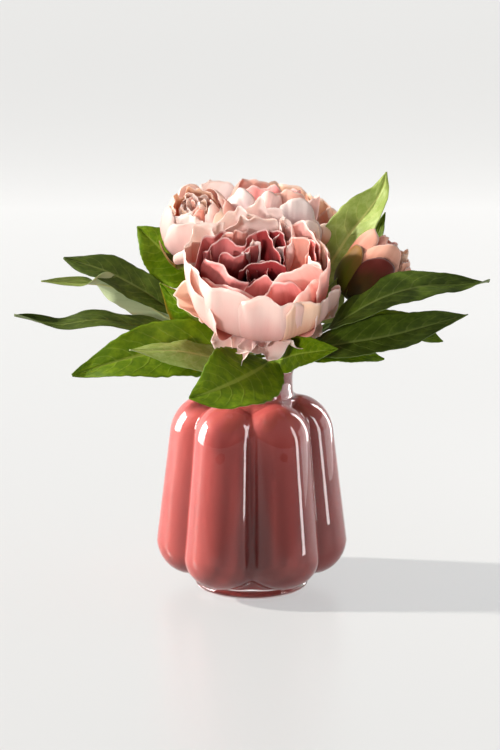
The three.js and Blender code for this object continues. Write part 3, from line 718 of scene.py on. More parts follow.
# stem and height: where the stalk leaves its stem. spine: points that the midrib passes, to the tip.
# facing: where the upper side looks. fold: how far the two halves rise from the midrib, in degrees.
# wave: how far the edges ripple, in mm.
LEAVES = {
    "left_long_leaf": dict(
        stem="left_bloom", height=196, width=22, facing=(0, -0.5, 0.87), fold=14, wave=2.0, cloth=DEEP,
        crown=1.0, spine=[(-22, 12, 192), (-50, 8, 198), (-79, 5, 205), (-97, 0, 209), (-113, -3, 213),
                          (-127, -4, 213),
               (-148, -3, 210), (-164, -2, 212), (-184, 0, 216)],
    ),
    "left_broad_leaf": dict(
        stem="main_bloom", height=186, width=51, facing=(0, -0.8, 0.6), fold=10, wave=1.8, cloth=FRESH,
        spine=[(-12, -16, 188), (-34, -26, 193), (-64, -38, 196), (-100, -47, 190), (-135, -50, 179)],
    ),
    "left_pale_leaf": dict(
        stem="main_bloom", height=190, width=31, facing=(0.1, -0.65, 0.75), fold=-14, wave=1.4, cloth=PALE,
        spine=[(-6, -18, 189), (-22, -32, 189), (-54, -55, 199), (-91, -62, 201)],
    ),
    "drooping_leaf": dict(
        stem="main_bloom", height=184, width=60, facing=(-0.1, -0.85, 0.5), fold=8, wave=1.8, cloth=FRESH,
        crown=1.0, spine=[(13, -29, 186), (6, -46, 184), (-9, -66, 180), (-28, -82, 175), (-46, -88, 170)],
    ),
    "left_dark_leaf": dict(
        stem="left_bloom", height=216, width=36, facing=(0, -0.6, 0.8), fold=10, wave=2.2, cloth=DEEP,
        crown=1.5, spine=[(-32, 28, 214), (-62, 26, 217), (-86, 25, 232), (-112, 26, 246), (-148, 30, 257)],
    ),
    "left_narrow_leaf": dict(
        stem="left_bloom", height=205, width=24, facing=(0.1, -0.6, 0.8), fold=22, wave=1.4, cloth=PALE,
        roll=(170, 0.62, 0.82),
        spine=[(-30, 22, 203), (-62, 22, 208), (-80, 22, 219), (-97, 20, 230), (-115, 18, 237),
               (-134, 15, 239), (-164, 12, 241)],
    ),
    "left_small_leaf": dict(
        stem="left_bloom", height=230, width=42, facing=(-0.3, -0.85, 0.4), fold=22, wave=3.0, cloth=FRESH,
        crown=1.1,
        spine=[(-44, 38, 240), (-58, 40, 249), (-72, 44, 262), (-91, 50, 279)],
    ),
    "left_bright_leaf": dict(
        stem="main_bloom", height=197, width=36, facing=(-0.5, -0.8, 0.35), fold=14, wave=1.6, cloth=FLUSHED,
        spine=[(-8, -2, 198), (-27, 2, 203), (-48, 4, 216), (-71, 6, 241)],
    ),
    "right_tall_leaf": dict(
        stem="back_bloom", height=206, width=40, facing=(-0.4, -0.88, 0.25), fold=18, wave=2.2, cloth=PALE,
        crown=1.05,
        spine=[(36, 28, 222), (56, 31, 244), (77, 34, 275), (90, 38, 291), (99, 42, 303), (103, 44, 311),
               (106, 42, 323)],
    ),
    "right_rear_leaf": dict(
        stem="back_bloom", height=214, width=24, facing=(-0.1, -0.8, 0.6), fold=10, wave=1.4, cloth=FRESH,
        spine=[(46, 44, 232), (78, 52, 250), (98, 56, 268), (107, 60, 289)],
    ),
    "right_long_leaf": dict(
        stem="right_bud", height=199, width=33, facing=(0, -0.6, 0.8), fold=12, wave=1.8, cloth=DEEP,
        spine=[(62, -22, 212), (88, -35, 231), (110, -38, 241), (130, -37, 245), (153, -30, 245),
               (180, -24, 247)],
    ),
    "right_dark_leaf": dict(
        stem="main_bloom", height=187, width=40, facing=(0.05, -0.62, 0.78), fold=10, wave=1.6, cloth=DEEP,
        crown=0.9,
        spine=[(32, -17, 190), (52, -26, 196), (80, -37, 203), (106, -43, 209), (135, -48, 218),
               (161, -50, 226)],
    ),
    "right_lower_leaf": dict(
        stem="right_bud", height=192, width=36, facing=(0, -0.6, 0.8), fold=10, wave=1.2, cloth=FRESH,
        crown=1.3, spine=[(62, 10, 198), (92, 14, 204), (122, 13, 202), (150, 11, 194)],
    ),
    "right_short_leaf": dict(
        stem="right_bud", height=184, width=24, facing=(0, -0.6, 0.8), fold=8, wave=1.2, cloth=FRESH,
        crown=1.2, spine=[(42, -14, 186), (74, -18, 190), (102, -15, 185)],
    ),
    "front_right_leaf": dict(
        stem="main_bloom", height=183, width=30, facing=(-0.1, -0.8, 0.55), fold=10, wave=0.8, cloth=FRESH,
        spine=[(22, -28, 187), (34, -42, 194), (48, -52, 198), (64, -58, 201)],
    ),
    "right_inner_leaf": dict(
        stem="right_bud", height=206, width=22, facing=(0.2, -0.97, 0.1), fold=8, wave=1.0, cloth=PALE,
        spine=[(57, -8, 218), (62, -10, 232), (66, -11, 248)],
    ),
    "back_left_leaf": dict(
        stem="back_bloom", height=198, width=34, facing=(0, 0.3, 0.95), fold=10, wave=2.0, cloth=FRESH,
        spine=[(2, 46, 206), (-20, 88, 216), (-45, 135, 211)],
    ),
    "back_right_leaf": dict(
        stem="back_bloom", height=192, width=34, facing=(0, 0.3, 0.95), fold=10, wave=2.0, cloth=DEEP,
        spine=[(30, 48, 202), (46, 92, 213), (60, 135, 208)],
    ),
}


def leaf_half_width(width, v, crown):
    blade = np.clip((v - STALK_SHARE) / (1 - STALK_SHARE), 0, 1)
    lance = np.sin(math.pi * blade**crown) ** 0.85 * (1 - 0.25 * blade)
    return np.maximum(STALK_HALF_WIDTH * (1 - 0.7 * blade), (width / 2) * lance * 1.08)


def build_leaf(name, seed, stem, height, width, facing, fold, wave, cloth, spine, crown=0.8, roll=(0, 0, 1)):
    """One leaf. crown: where it is widest, higher is nearer the tip. roll: degrees by which the blade is
    turned over at its stalk, and the shares of its length between which it turns back."""
    rng = random.Random(seed)
    path = STEM_PATHS[stem]
    near = int(np.argmin(np.abs(path[:, 2] - height)))
    joint = path[near]
    along_stem = unit(path[near + 1] - path[near - 1])
    outward = vec(*spine[0]) - joint
    outward = unit(outward - along_stem * (outward @ along_stem))
    start = joint + outward * (STEM_RADIUS - 0.4)
    second = joint + outward * (STEM_RADIUS + STALK_BEND)
    rib = through([start, second] + [vec(*p) for p in spine], LEAF_GRID[1])
    ahead = unit(np.gradient(rib, axis=0))
    v = np.linspace(0, 1, len(rib))
    upper = unit(vec(*facing))
    sideways = unit(np.cross(upper, ahead))
    raised = np.cross(ahead, sideways)
    degrees, low, high = roll
    turn = np.radians(degrees) * (1 - smooth(low, high, v))[:, None]
    sideways, raised = (
        sideways * np.cos(turn) + raised * np.sin(turn),
        raised * np.cos(turn) - sideways * np.sin(turn),
    )
    u = np.linspace(1, -1, LEAF_GRID[0])
    half = leaf_half_width(width, v, crown)
    nick = 1 + 0.02 * wander(v, rng, (5, 11, 19))
    blade = smooth(STALK_SHARE, STALK_SHARE + 0.12, v)
    lift = math.tan(math.radians(fold)) * np.abs(u)[:, None] ** 1.3 * half[None, :]
    one, other = (wander(v, rng, (1.6, 3.6))[None, :] for _ in range(2))
    ripple = np.where((u > 0)[:, None], one, other) * wave * np.abs(u)[:, None] ** 2 * blade[None, :]
    sag = 0.5 * wave * wander(v, rng, (1.2, 2.3))[None, :] * np.sin(math.pi * np.abs(u))[:, None]
    beat = (v[None, :] - VEIN_LAG * np.abs(u)[:, None] ** VEIN_BEND) * LEAF_VEINS
    puff = 0.2 * np.abs(np.sin(math.pi * beat)) * smooth(0.02, 0.25, np.abs(u))[:, None] * blade[None, :]
    groove = -0.8 * np.exp(-((u[:, None] / 0.07) ** 2)) * blade[None, :]
    rise = lift + ripple + sag * blade[None, :] + puff + groove
    reach = u[:, None] * (half * nick)[None, :]
    sheet = rib[None] + sideways[None] * reach[..., None] + raised[None] * rise[..., None]
    return sheet_piece(f"{name}_cloth", sheet, LEAF_THICKNESS, cloth, [name], rng.random())


for number, (leaf_name, leaf) in enumerate(LEAVES.items()):
    build_leaf(leaf_name, 100 + number, **leaf)

# ---------------------------------------------------------------- petals

PETAL_THICKNESS = 0.22
SEAT_RADIUS = RECEPTACLE_RADIUS + 0.2
SEAT_WRAP = 0.9  # radians of the receptacle that a petal's seat takes up

CREAM = petal_silk(
    "cream_petal_silk", ("#EE8C88", "#F8C4BE", "#FDE6DE"), ("#C84A50", "#EBA29A", "#FCE2D8"), see_through=0.4
)
BLUSH = petal_silk(
    "blush_petal_silk", ("#DC7670", "#F2AEA6", "#FCDCD2"), ("#C04850", "#E88E8C", "#FACCC4"),
    see_through=0.36, warmth=0.2
)
# painted shade: deep rose is the inner petals' own colour, made darker still for the shade deep inside the
# blooms
ROSE_SHADED = petal_silk(
    "rose_petal_silk_with_painted_shade", ("#6E0C18", "#BA3A40", "#F09C96"), ("#660A16", "#AC3038", "#EC8E8A"), see_through=0.28,
    warmth=0.06
)
# painted shade: wine red is the innermost petals' own colour, made darker still for the shade at the heart of
# the blooms
WINE_SHADED = petal_silk(
    "wine_petal_silk_with_painted_shade", ("#46040C", "#7C101C", "#BC4A4C"), ("#3E040A", "#700C16", "#B24244"), see_through=0.24,
    warmth=0.04
)
CORAL = petal_silk(
    "coral_petal_silk", ("#BC4A40", "#E07E6E", "#F6C2B2"), ("#B84038", "#DC7868", "#F4BCAC"), see_through=0.36
)
CORALINE = petal_silk(
    "pink_to_peach_petal_silk", ("#E0807A", "#F0A8A0", "#FAE0C6"), ("#C8484A", "#E4827C", "#F8D4B8"),
    see_through=0.36
)
WHITE = petal_silk(
    "white_petal_silk", ("#F0A8A0", "#FCDEDA", "#FFF4EE"), ("#E89090", "#FBDAD6", "#FFF3EE"), see_through=0.4
)
PEARL = petal_silk(
    "pearl_petal_silk", ("#F4B4AC", "#FBDAD6", "#FEF1EC"), ("#F2ACA4", "#FAD8D2", "#FEF0EA"),
    see_through=0.36, roughness=0.4,
)
SHELL = petal_silk(
    "shell_pink_petal_silk", ("#D89A94", "#DEB6B0", "#E8CCC4"), ("#E49A92", "#F0C4BC", "#F8DED4"),
    see_through=0.3
)
PEACH = petal_silk(
    "peach_petal_silk", ("#EE8C70", "#F7BEA2", "#FCE2CA"), ("#E47C64", "#F4B498", "#FBDEC8"), see_through=0.38
)
# painted shade: salmon is the bud petals' own colour, made darker still for the shadow of the main bloom that
# lies over the bud
SHADED_SALMON = petal_silk(
    "salmon_petal_silk_with_painted_shade", ("#7E3426", "#B66654", "#E6AC96"), ("#8C4030", "#C07462", "#EAB49E"), see_through=0.2
)
OLIVE = petal_silk(
    "olive_sepal_cloth", ("#383C04", "#5C6010", "#8E6228"), ("#7E8A3C", "#9AA050", "#B08E5E"),
    see_through=0.2, warmth=0.0, fading=0.15,
)
# painted shade: maroon is the bud sepals' own colour, made darker still for the shadow of the main bloom that
# lies over the bud
MAROON_SHADED = petal_silk(
    "maroon_sepal_cloth_with_painted_shade", ("#262800", "#382206", "#5A201A"), ("#6A6436", "#7A4A3A", "#94484A"),
    see_through=0.1, warmth=0.0, fading=0.1,
)


def head_frame(head):
    """A bloom's base point, and its axes: up along the bloom, right and back across it."""
    base, axis = HEADS[head]
    up = unit(vec(*axis))
    right = vec(1, 0, 0)
    right = unit(right - up * (right @ up))
    return vec(*base), up, right, np.cross(up, right)


def petal_sheet(head, rim, seed, seat=4.0, lean=-8.0, belly=0.5, rise=0.55, ruffle=1.6, frill=1.0, lip=1.0,
                notch=0.0, pleat=0.12, grid=(44, 30)):
    """Middle surface of a petal that grows from its seat out to a given upper edge.

    rim: points of the edge, each (angle round the bloom in degrees, distance from its axis, height).
    lean: which way the petal heads at its edge, in degrees out from the bloom's axis. belly and rise: how
    far it keeps its heading at the seat and at the edge. ruffle: depth of the waves near the edge. frill:
    unevenness of the cut edge. lip: how far the last stretch rolls outwards. All lengths in mm.
    """
    rng = random.Random(seed)
    base, up, right, back = head_frame(head)
    flat = []
    for angle, distance, height in rim:
        turn = math.radians(angle)
        flat.append(vec(distance * math.cos(turn), distance * math.sin(turn), height))
    turning = sum(np.cross(a[:2], b[:2]) for a, b in zip(flat, flat[1:]))
    if turning < 0:  # go round the bloom one way, so that the outer side is known
        flat.reverse()
    rows, columns = grid
    edge = through(flat, rows)
    outward = np.stack([edge[:, 0], edge[:, 1], np.zeros(rows)], axis=1)
    distance = np.linalg.norm(outward, axis=1, keepdims=True)
    centre_out = unit(outward.mean(axis=0))
    outward = unit(mix(centre_out, outward / np.maximum(distance, 1e-6), smooth(2.0, 12.0, distance)))
    u = np.linspace(0, 1, rows)
    v = np.linspace(0, 1, columns)[None, :, None]
    swing = (u - 0.5)[:, None] * SEAT_WRAP
    seat_way = centre_out * np.cos(swing) + np.cross(vec(0, 0, 1), centre_out) * np.sin(swing)
    start = seat_way * SEAT_RADIUS + vec(0, 0, seat)
    tilt = math.radians(lean)
    heading = vec(0, 0, 1) * math.cos(tilt) + outward * math.sin(tilt)
    length = np.linalg.norm(edge - start, axis=1, keepdims=True)
    bow = start + outward * length * belly
    under = edge - heading * length * rise
    curve = (
        start[:, None] * (1 - v) ** 3
        + 3 * bow[:, None] * v * (1 - v) ** 2
        + 3 * under[:, None] * v**2 * (1 - v)
        + edge[:, None] * v**3
    )
    span = np.linalg.norm(np.diff(edge, axis=0), axis=1).sum()
    along = v[..., 0]
    depth = smooth(0.3, 1.0, along) ** 1.4
    drift = along * 0.3 * (rng.random() - 0.5)
    place = u[:, None] + drift
    wave = wander(place, rng, (max(0.8, span / 46), max(1.4, span / 26)))
    wave = wave + 0.3 * wander(place, rng, (max(2.5, span / 13),)) * smooth(0.7, 1.0, along)
    sway = wander(place, rng, (max(1.2, span / 30),))
    normals = surface_normals(curve)
    tangents = unit(np.gradient(curve, axis=0) + 1e-9)
    sheet = curve + normals * (ruffle * depth * wave)[..., None]
    sheet = sheet + tangents * (0.7 * ruffle * depth * sway)[..., None]
    roll = smooth(0.8, 1.0, along) ** 2 * (0.75 + 0.45 * wander(u, rng, (1.5, 3.1))[:, None])
    sheet = sheet + normals * (lip * roll)[..., None]
    lobes = np.abs(np.sin(math.pi * (max(2, span / 22) * u + rng.random()))) ** 0.6 - 0.7
    cut = frill * (0.9 * wander(u, rng, (1.8, 3.7)) + 1.1 * lobes + 0.16 * wander(u, rng, (11, 17)))
    where = 0.35 + 0.3 * rng.random()
    cut = cut - notch * np.exp(-(((u - where) / 0.04) ** 2))
    ahead = unit(np.gradient(sheet, axis=1))
    sheet = sheet + ahead * (cut[:, None] * smooth(0.6, 1.0, along))[..., None]
    lines = np.sin(2 * math.pi * (span / 7) * u + 5 * wander(u, rng, (1.3, 2.9)))[:, None]
    sheet = sheet + normals * (pleat * lines * smooth(0.15, 0.5, along))[..., None]
    return base + sheet[..., 0:1] * right + sheet[..., 1:2] * back + sheet[..., 2:3] * up


def add_petal(head, name, rim, look, seed, nodes=(), tone=0.0, **shape):
    sheet = petal_sheet(head, rim, seed, **shape)
    return sheet_piece(f"{head}_{name}", sheet, PETAL_THICKNESS, look, nodes, tone)


def ring_rim(turn, spread, radius, height, drop=0.3, points=7):
    """A petal's edge centred on an angle, with rounded shoulders that fall away to both sides."""
    places = np.linspace(-1, 1, points)
    return [
        (turn + spread * s, radius * (1 - 0.04 * abs(s) ** 3),
         height * (1 - drop * abs(s) ** 2.6)) for s in places
    ]


def ring(head, name, count, start, spread, radius, height, looks, seed, nodes=(), step=None, jitter=1.0,
         **shape):
    """A ring of petals, each a little different. nodes names the solids that single petals stand for."""
    rng = random.Random(seed)
    step = step or 360 / count
    for i in range(count):
        rim = ring_rim(
            start + step * i + rng.uniform(-5, 5) * jitter,
            spread * rng.uniform(0.9, 1.1),
            radius * rng.uniform(0.96, 1.04),
            height * rng.uniform(0.96, 1.05),
        )
        stands_for = [nodes[i]] if i < len(nodes) else ()
        add_petal(head, f"{name}_{i + 1}", rim, looks[i % len(looks)], seed * 37 + i, stands_for,
                  tone=rng.random() * 0.6, **shape)


def numbered(text, count):
    return [f"{text}_{i + 1}" for i in range(count)]


def add_petals(head, kind, petals, seed, nodes=(), **common):
    """Add petals given one by one: each is its edge points, its cloth and, if any, what differs from the
    common shape. nodes names the solids that the first petals stand for."""
    rng = random.Random(seed)
    for i, (rim, look, *own) in enumerate(petals):
        stands_for = [nodes[i]] if i < len(nodes) else ()
        add_petal(head, f"{kind}_{i + 1}", rim, look, seed * 41 + i, stands_for, tone=rng.random() * 0.5,
                  **{**common, **(own[0] if own else {})})


def build_main_bloom():
    head = "main_bloom"
    skirt = [
        ([(-156, 38, 8), (-142, 46, 4), (-128, 52, 2), (-114, 57, 0), (-103, 55, 0), (-95, 46, 2)], PEARL),
        ([(-110, 44, 6), (-97, 47, 2), (-84, 44, 1), (-72, 48, 0), (-60, 48, 1), (-50, 42, 4)], PEARL),
        ([(-66, 40, 6), (-54, 48, 3), (-42, 52, 1), (-30, 53, 2), (-18, 50, 3), (-8, 42, 6)], PEARL),
        ([(-34, 46, 12), (-18, 57, 10), (-2, 60, 10), (10, 65, 8), (22, 56, 10), (32, 44, 10)], PEACH),
        ([(142, 46, 12), (158, 58, 14), (172, 64, 13), (-176, 63, 14), (-164, 56, 17), (-150, 46, 14)],
         PEACH),
        ([(24, 44, 8), (44, 56, 8), (64, 58, 6), (86, 48, 6)], PEARL),
        ([(82, 46, 6), (104, 58, 6), (126, 57, 6), (148, 46, 8)], PEARL),
        ([(-136, 34, 6), (-118, 42, 3), (-98, 42, 2), (-80, 38, 3), (-64, 34, 6)], PEARL),
    ]
    add_petals(head, "skirt", skirt, 11, numbered("main_bloom_skirt_petal", 5), seat=1.5, lean=64, belly=0.4,
               rise=0.35, ruffle=2.8, frill=1.5, lip=-1.5)
    cups = [
        ([(-108, 46, 54), (-103, 48, 68), (-96, 49, 73), (-84, 50, 72), (-72, 53, 69), (-58, 54, 63),
          (-50, 53, 52)],
         CREAM),
        ([(178, 47, 54), (-168, 50, 66), (-150, 50, 71), (-130, 49, 73), (-112, 47, 72), (-102, 45, 70),
          (-96, 42, 62)], CREAM, dict(ruffle=2.0)),
        ([(-174, 53, 54), (178, 54, 64), (168, 53, 69), (152, 51, 68), (138, 47, 66), (124, 44, 60)], WHITE),
        ([(146, 46, 54), (132, 47, 64), (120, 47, 68), (108, 48, 69), (98, 49, 67), (90, 47, 60)], WHITE,
         dict(lip=-3, ruffle=2.6, lean=-14)),
        ([(104, 50, 58), (96, 53, 68), (86, 53, 72), (76, 50, 71), (66, 46, 66), (58, 43, 58)], WHITE,
         dict(lip=-4, ruffle=2.6, lean=-14)),
        ([(66, 44, 52), (52, 44, 62), (38, 44, 66), (24, 45, 66), (10, 46, 58)], BLUSH, dict(ruffle=2.2)),
        ([(26, 47, 50), (10, 49, 61), (-6, 51, 67), (-22, 52, 69), (-38, 51, 62)], BLUSH, dict(ruffle=2.0)),
        ([(-34, 56, 44), (-42, 57, 56), (-52, 56, 63), (-62, 55, 64), (-70, 53, 56)], PEACH),
        ([(150, 50, 50), (168, 53, 62), (-176, 53, 66), (-160, 53, 65), (-146, 53, 60), (-132, 54, 51),
          (-122, 54, 42)], CREAM, dict(lip=1.5)),
        ([(-6, 55, 34), (-14, 59, 44), (-24, 59, 52), (-36, 58, 52), (-46, 57, 42)], CREAM,
         dict(ruffle=2.4, lip=2)),
        ([(40, 44, 52), (30, 48, 60), (20, 50, 62), (8, 52, 58), (0, 52, 48)], PEACH,
         dict(ruffle=2.6, lip=2)),
    ]
    add_petals(head, "cup", cups, 12, numbered("main_bloom_cup_petal", 5), seat=4.5, lean=-8, ruffle=1.6,
               frill=0.9, lip=1.2, notch=1.5, belly=0.58, rise=0.5)
    inners = [
        ([(178, 38, 54), (-178, 36, 61), (-166, 30, 62), (-142, 25, 59), (-112, 19, 53)], ROSE_SHADED,
         dict(lean=-36)),
        ([(-92, 40, 54), (-84, 38, 61), (-70, 28, 60), (-56, 28, 61), (-46, 32, 62), (-40, 40, 56)], ROSE_SHADED,
         dict(lean=-42)),
        ([(-72, 23, 50), (-58, 21, 55), (-38, 22, 58), (-22, 27, 61), (-14, 37, 64), (-14, 46, 64)], BLUSH,
         dict(lean=-44, ruffle=1.6)),
        ([(-114, 31, 52), (-112, 20, 53), (-92, 12, 52), (-60, 11, 52), (-44, 17, 50)], ROSE_SHADED, dict(lean=-40)),
        ([(-160, 43, 56), (-134, 38, 62), (-110, 35, 63), (-92, 36, 57)], ROSE_SHADED, dict(lean=-34)),
        ([(168, 42, 56), (153, 34, 61), (138, 29, 59), (124, 22, 55), (107, 25, 57), (90, 28, 55)], ROSE_SHADED,
         dict(ruffle=2.0, lip=1.8)),
        ([(178, 31, 54), (162, 25, 57), (150, 16, 54), (124, 13, 52), (104, 17, 55), (92, 23, 52)], ROSE_SHADED,
         dict(ruffle=2.4, lip=2.0)),
        ([(-170, 15, 48), (160, 9, 50), (70, 5, 49), (22, 12, 51), (4, 20, 50)], WINE_SHADED, dict(ruffle=1.4)),
        ([(96, 32, 56), (78, 28, 59), (56, 20, 56), (22, 15, 50)], WINE_SHADED),
        ([(76, 35, 57), (60, 31, 60), (44, 27, 58), (30, 18, 50)], WINE_SHADED),
        ([(48, 30, 54), (38, 35, 62), (26, 38, 63), (8, 34, 56)], CORAL, dict(ruffle=1.4)),
        ([(16, 36, 52), (4, 37, 60), (-9, 41, 64), (-17, 47, 62)], WHITE, dict(ruffle=1.0)),
        ([(70, 30, 54), (69, 36, 64), (62, 41, 69), (54, 40, 67), (44, 33, 60), (36, 25, 52)], PEARL,
         dict(ruffle=3.4, frill=1.6, lip=-2.5, lean=-20)),
        ([(-174, 46, 55), (174, 44, 63), (158, 40, 65), (140, 37, 62), (126, 36, 55)], ROSE_SHADED, dict(lip=2)),
        ([(140, 42, 54), (122, 40, 63), (104, 41, 67), (88, 42, 66), (72, 41, 57)], WHITE,
         dict(lip=-3, ruffle=3.0, lean=-16)),
        ([(40, 42, 52), (22, 41, 61), (4, 42, 62), (-12, 45, 57)], ROSE_SHADED),
        ([(-62, 45, 52), (-48, 45, 60), (-34, 45, 61), (-18, 46, 55)], BLUSH, dict(lean=-36)),
        ([(128, 18, 50), (112, 17, 54), (98, 19, 57), (88, 24, 54)], WHITE, dict(ruffle=2.4, grid=(28, 22))),
        ([(160, 36, 56), (140, 33, 61), (120, 30, 60), (104, 32, 57)], CORAL, dict(ruffle=2.6, lip=2.4)),
    ]
    add_petals(head, "inner", inners, 13, numbered("main_bloom_inner_petal", 5), seat=9.0, lean=-10,
               ruffle=1.4, frill=0.8, lip=1.4, belly=0.5, rise=0.42)
    ring(head, "heart", 6, 10, 40, 8, 46, [WINE_SHADED], 21, seat=12, lean=0, belly=0.25, rise=0.4, ruffle=1.6,
         frill=1.2, grid=(24, 18))


def build_back_bloom():
    head = "back_bloom"
    far = [
        ([(178, 58, 44), (168, 62, 58), (162, 62, 66), (152, 57, 72), (142, 48, 70), (130, 40, 58)], WHITE),
        ([(126, 30, 60), (106, 33, 74), (90, 32, 78), (72, 33, 78), (52, 37, 75), (38, 42, 62)], CORALINE),
        ([(66, 38, 60), (52, 43, 72), (42, 48, 71), (31, 53, 64), (22, 54, 52)], CORALINE),
        ([(42, 50, 52), (33, 56, 63), (27, 59, 59), (18, 58, 49), (8, 55, 38), (-4, 52, 28)], PEACH),
        ([(-4, 52, 26), (-16, 55, 34), (-30, 56, 36), (-44, 54, 28)], PEACH),
        ([(150, 50, 46), (126, 55, 60), (104, 56, 64), (80, 55, 62), (60, 50, 48)], BLUSH, dict(lip=2)),
        ([(100, 50, 40), (76, 56, 54), (54, 58, 56), (34, 56, 42)], BLUSH, dict(lip=2)),
        ([(-164, 56, 34), (-176, 59, 44), (170, 60, 50), (156, 56, 46)], CORAL),
    ]
    add_petals(head, "far", far, 31, numbered("back_bloom_outer_petal", 5), seat=3, lean=-26, belly=0.6,
               rise=0.4, ruffle=2.2, frill=1.0, lip=-1.5, notch=1.5)
    near = [
        ([(-82, 38, 32), (-76, 42, 42), (-66, 44, 46), (-56, 47, 45), (-48, 53, 38), (-42, 56, 26)], PEARL,
         dict(ruffle=2.6)),
        ([(-142, 50, 32), (-134, 50, 42), (-124, 45, 47), (-112, 42, 45), (-102, 40, 34)], PEARL,
         dict(ruffle=2.4)),
        ([(-112, 38, 38), (-98, 38, 47), (-84, 38, 48), (-70, 38, 38)], BLUSH),
        ([(-72, 48, 18), (-64, 52, 26), (-54, 54, 28), (-46, 55, 22), (-40, 54, 12)], WHITE,
         dict(ruffle=2.6, lip=2)),
        ([(-178, 55, 30), (-162, 56, 40), (-146, 54, 42), (-134, 50, 30)], CORAL),
        ([(-136, 54, 14), (-118, 56, 22), (-100, 56, 24), (-82, 54, 14)], CREAM),
    ]
    add_petals(head, "near", near, 32, numbered("back_bloom_inner_petal", 3), seat=5, lean=-30, belly=0.62,
               rise=0.4, ruffle=2.0, frill=1.0, lip=1.0)
    middle = [
        ([(-170, 30, 52), (178, 28, 62), (174, 24, 68), (168, 16, 70), (140, 9, 68), (90, 8, 60)], CORAL,
         dict(lean=-40, ruffle=1.4)),
        ([(-150, 34, 46), (-130, 32, 54), (-110, 31, 54), (-92, 32, 46)], ROSE_SHADED),
        ([(-96, 32, 46), (-76, 31, 55), (-56, 32, 55), (-38, 34, 46)], CORAL),
        ([(-40, 34, 48), (-18, 34, 58), (4, 34, 60), (24, 34, 52)], BLUSH),
        ([(170, 34, 54), (150, 34, 64), (130, 32, 66), (112, 30, 58)], BLUSH),
        ([(100, 24, 58), (70, 22, 68), (40, 23, 68), (14, 25, 58)], ROSE_SHADED),
        ([(-60, 22, 50), (-30, 20, 60), (0, 20, 60), (26, 22, 52)], ROSE_SHADED),
        ([(-150, 20, 50), (-120, 18, 59), (-90, 18, 59), (-60, 20, 50)], ROSE_SHADED),
    ]
    add_petals(head, "middle", middle, 33, seat=8, lean=-24, belly=0.45, rise=0.42, ruffle=2.2, frill=1.0,
               lip=1.5)
    ring(head, "heart", 5, 0, 48, 10, 54, [ROSE_SHADED, WINE_SHADED], 34, seat=12, lean=-6, ruffle=2.0, frill=1.2,
         grid=(28, 20))


def build_left_bloom():
    head = "left_bloom"
    outer = [
        ([(-152, 24, 34), (-136, 22, 43), (-114, 19, 47), (-92, 18, 47), (-72, 19, 45), (-56, 24, 34)],
         SHELL),
        ([(144, 22, 38), (164, 19, 47), (-174, 17, 51), (-152, 17, 50), (-132, 20, 44)], SHELL),
        ([(-72, 26, 30), (-50, 23, 43), (-28, 21, 48), (-8, 22, 47), (10, 25, 36)], PEACH),
        ([(-6, 24, 38), (18, 21, 50), (44, 20, 54), (66, 22, 46)], CREAM),
        ([(60, 20, 44), (86, 18, 53), (112, 18, 54), (138, 20, 46)], WHITE),
        ([(-124, 29, 20), (-98, 28, 32), (-74, 27, 35), (-50, 28, 24)], SHELL),
        ([(-34, 29, 20), (-8, 28, 33), (16, 28, 33), (36, 28, 22)], CREAM),
        ([(-46, 24, 36), (-20, 24, 46), (10, 24, 48), (32, 25, 38)], CORAL),
    ]
    add_petals(head, "outer", outer, 41, numbered("left_bloom_petal", 4), seat=4, lean=-58, belly=0.6,
               rise=0.36, ruffle=1.0, frill=0.8, lip=0.6, grid=(34, 26))
    middle = [
        ([(-150, 17, 44), (-120, 13, 50), (-90, 13, 50), (-62, 16, 45)], WHITE),
        ([(-60, 17, 44), (-30, 14, 51), (0, 14, 52), (26, 16, 46)], CREAM),
        ([(30, 16, 48), (60, 12, 54), (94, 11, 55), (120, 14, 50)], PEACH),
        ([(120, 16, 48), (150, 13, 54), (-174, 12, 54), (-150, 15, 46)], PEACH),
        ([(40, 12, 48), (70, 8, 53), (104, 8, 54), (136, 11, 50)], PEARL),
    ]
    add_petals(head, "middle", middle, 42, numbered("left_bloom_centre_petal", 2), seat=6, lean=-44,
               belly=0.5, rise=0.4, ruffle=1.8, frill=1.2, lip=1.6, grid=(30, 24))
    ring(head, "inner", 8, -20, 40, 9, 51, [WHITE, PEACH, PEARL, CORAL], 43, seat=9, lean=-4, belly=0.4,
         rise=0.4, ruffle=2.2, frill=1.8, grid=(26, 20))
    ring(head, "heart", 5, 10, 60, 4, 51, [WHITE, CORAL, PEARL], 45, seat=12, lean=0, belly=0.3, rise=0.5,
         ruffle=1.6, frill=1.4, grid=(22, 16))
    sepals = [
        ([(-178, 28, 10), (-168, 30, 21), (-154, 31, 26), (-140, 31, 21), (-128, 29, 10)], OLIVE),
        ([(60, 28, 12), (78, 30, 24), (96, 31, 29), (112, 30, 24), (126, 28, 12)], OLIVE),
    ]
    add_petals(head, "sepal", sepals, 44, numbered("left_bloom_sepal", 2), seat=1, lean=-4, belly=0.66,
               rise=0.4, ruffle=0.6, frill=0.4, lip=0.6, grid=(26, 22))


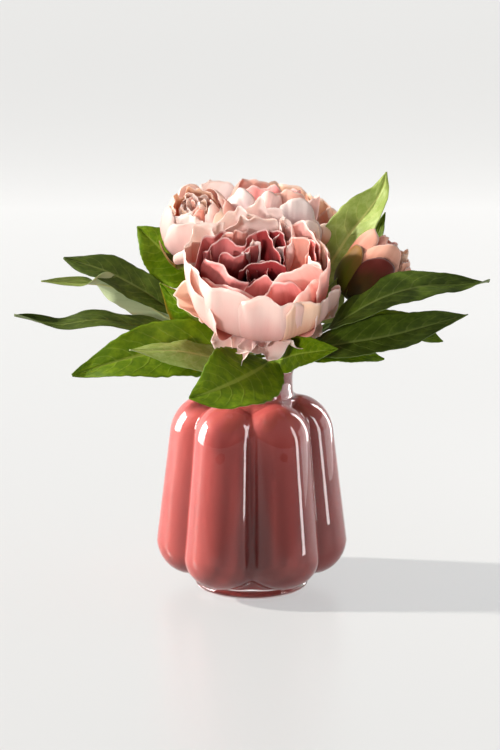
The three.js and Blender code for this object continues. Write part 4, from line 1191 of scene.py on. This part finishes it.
def build_right_bud():
    head = "right_bud"
    petals = [
        ([(126, 20, 40), (150, 20, 51), (178, 19, 56), (-158, 18, 57), (-134, 17, 52), (-120, 19, 42)],
         SHADED_SALMON),
        ([(-146, 21, 38), (-120, 19, 50), (-94, 17, 55), (-66, 16, 54), (-46, 19, 44)], SHADED_SALMON),
        ([(-66, 21, 32), (-44, 22, 43), (-18, 22, 47), (8, 22, 46), (30, 21, 36)], SHADED_SALMON, dict(frill=1.8)),
        ([(-50, 17, 42), (-26, 18, 50), (-2, 18, 52), (22, 18, 50), (44, 18, 42)], SHADED_SALMON, dict(frill=1.8)),
        ([(40, 21, 38), (66, 20, 48), (92, 19, 51), (120, 20, 44)], SHADED_SALMON),
        ([(-50, 11, 48), (-20, 12, 54), (10, 12, 56), (40, 12, 54), (66, 12, 48)], PEACH, dict(frill=1.8)),
        ([(80, 10, 50), (130, 8, 56), (180, 8, 57), (-130, 8, 56), (-90, 9, 50)], CORAL, dict(frill=1.6)),
    ]
    add_petals(head, "petal", petals, 51, numbered("right_bud_petal", 3), seat=4, lean=-50, belly=0.4,
               rise=0.26, ruffle=0.8, frill=0.7, lip=0.8, grid=(32, 26))
    ring(head, "heart", 5, 0, 50, 5, 55, [CORAL, ROSE_SHADED], 52, seat=10, lean=-10, belly=0.5, rise=0.5,
         ruffle=1.2, frill=1.2, grid=(22, 18))
    sepals = [
        ([(174, 23, 16), (-176, 25, 31), (-160, 25, 40), (-142, 25, 41), (-126, 25, 34), (-118, 24, 18)],
         OLIVE),
        ([(-126, 24, 18), (-121, 25, 34), (-106, 24, 42), (-88, 24, 45), (-70, 24, 43), (-60, 24, 36),
          (-54, 23, 22)],
         MAROON_SHADED),
        ([(-58, 23, 22), (-46, 24, 36), (-32, 24, 42), (-18, 24, 38), (-8, 23, 24)], MAROON_SHADED),
        ([(50, 22, 14), (74, 24, 28), (98, 24, 32), (124, 22, 18)], OLIVE),
    ]
    add_petals(head, "sepal", sepals, 53, numbered("right_bud_sepal", 3), seat=1, lean=-12, belly=0.58,
               rise=0.36, ruffle=0.3, frill=0.3, lip=0.3, grid=(28, 24))


build_main_bloom()
build_back_bloom()
build_left_bloom()
build_right_bud()
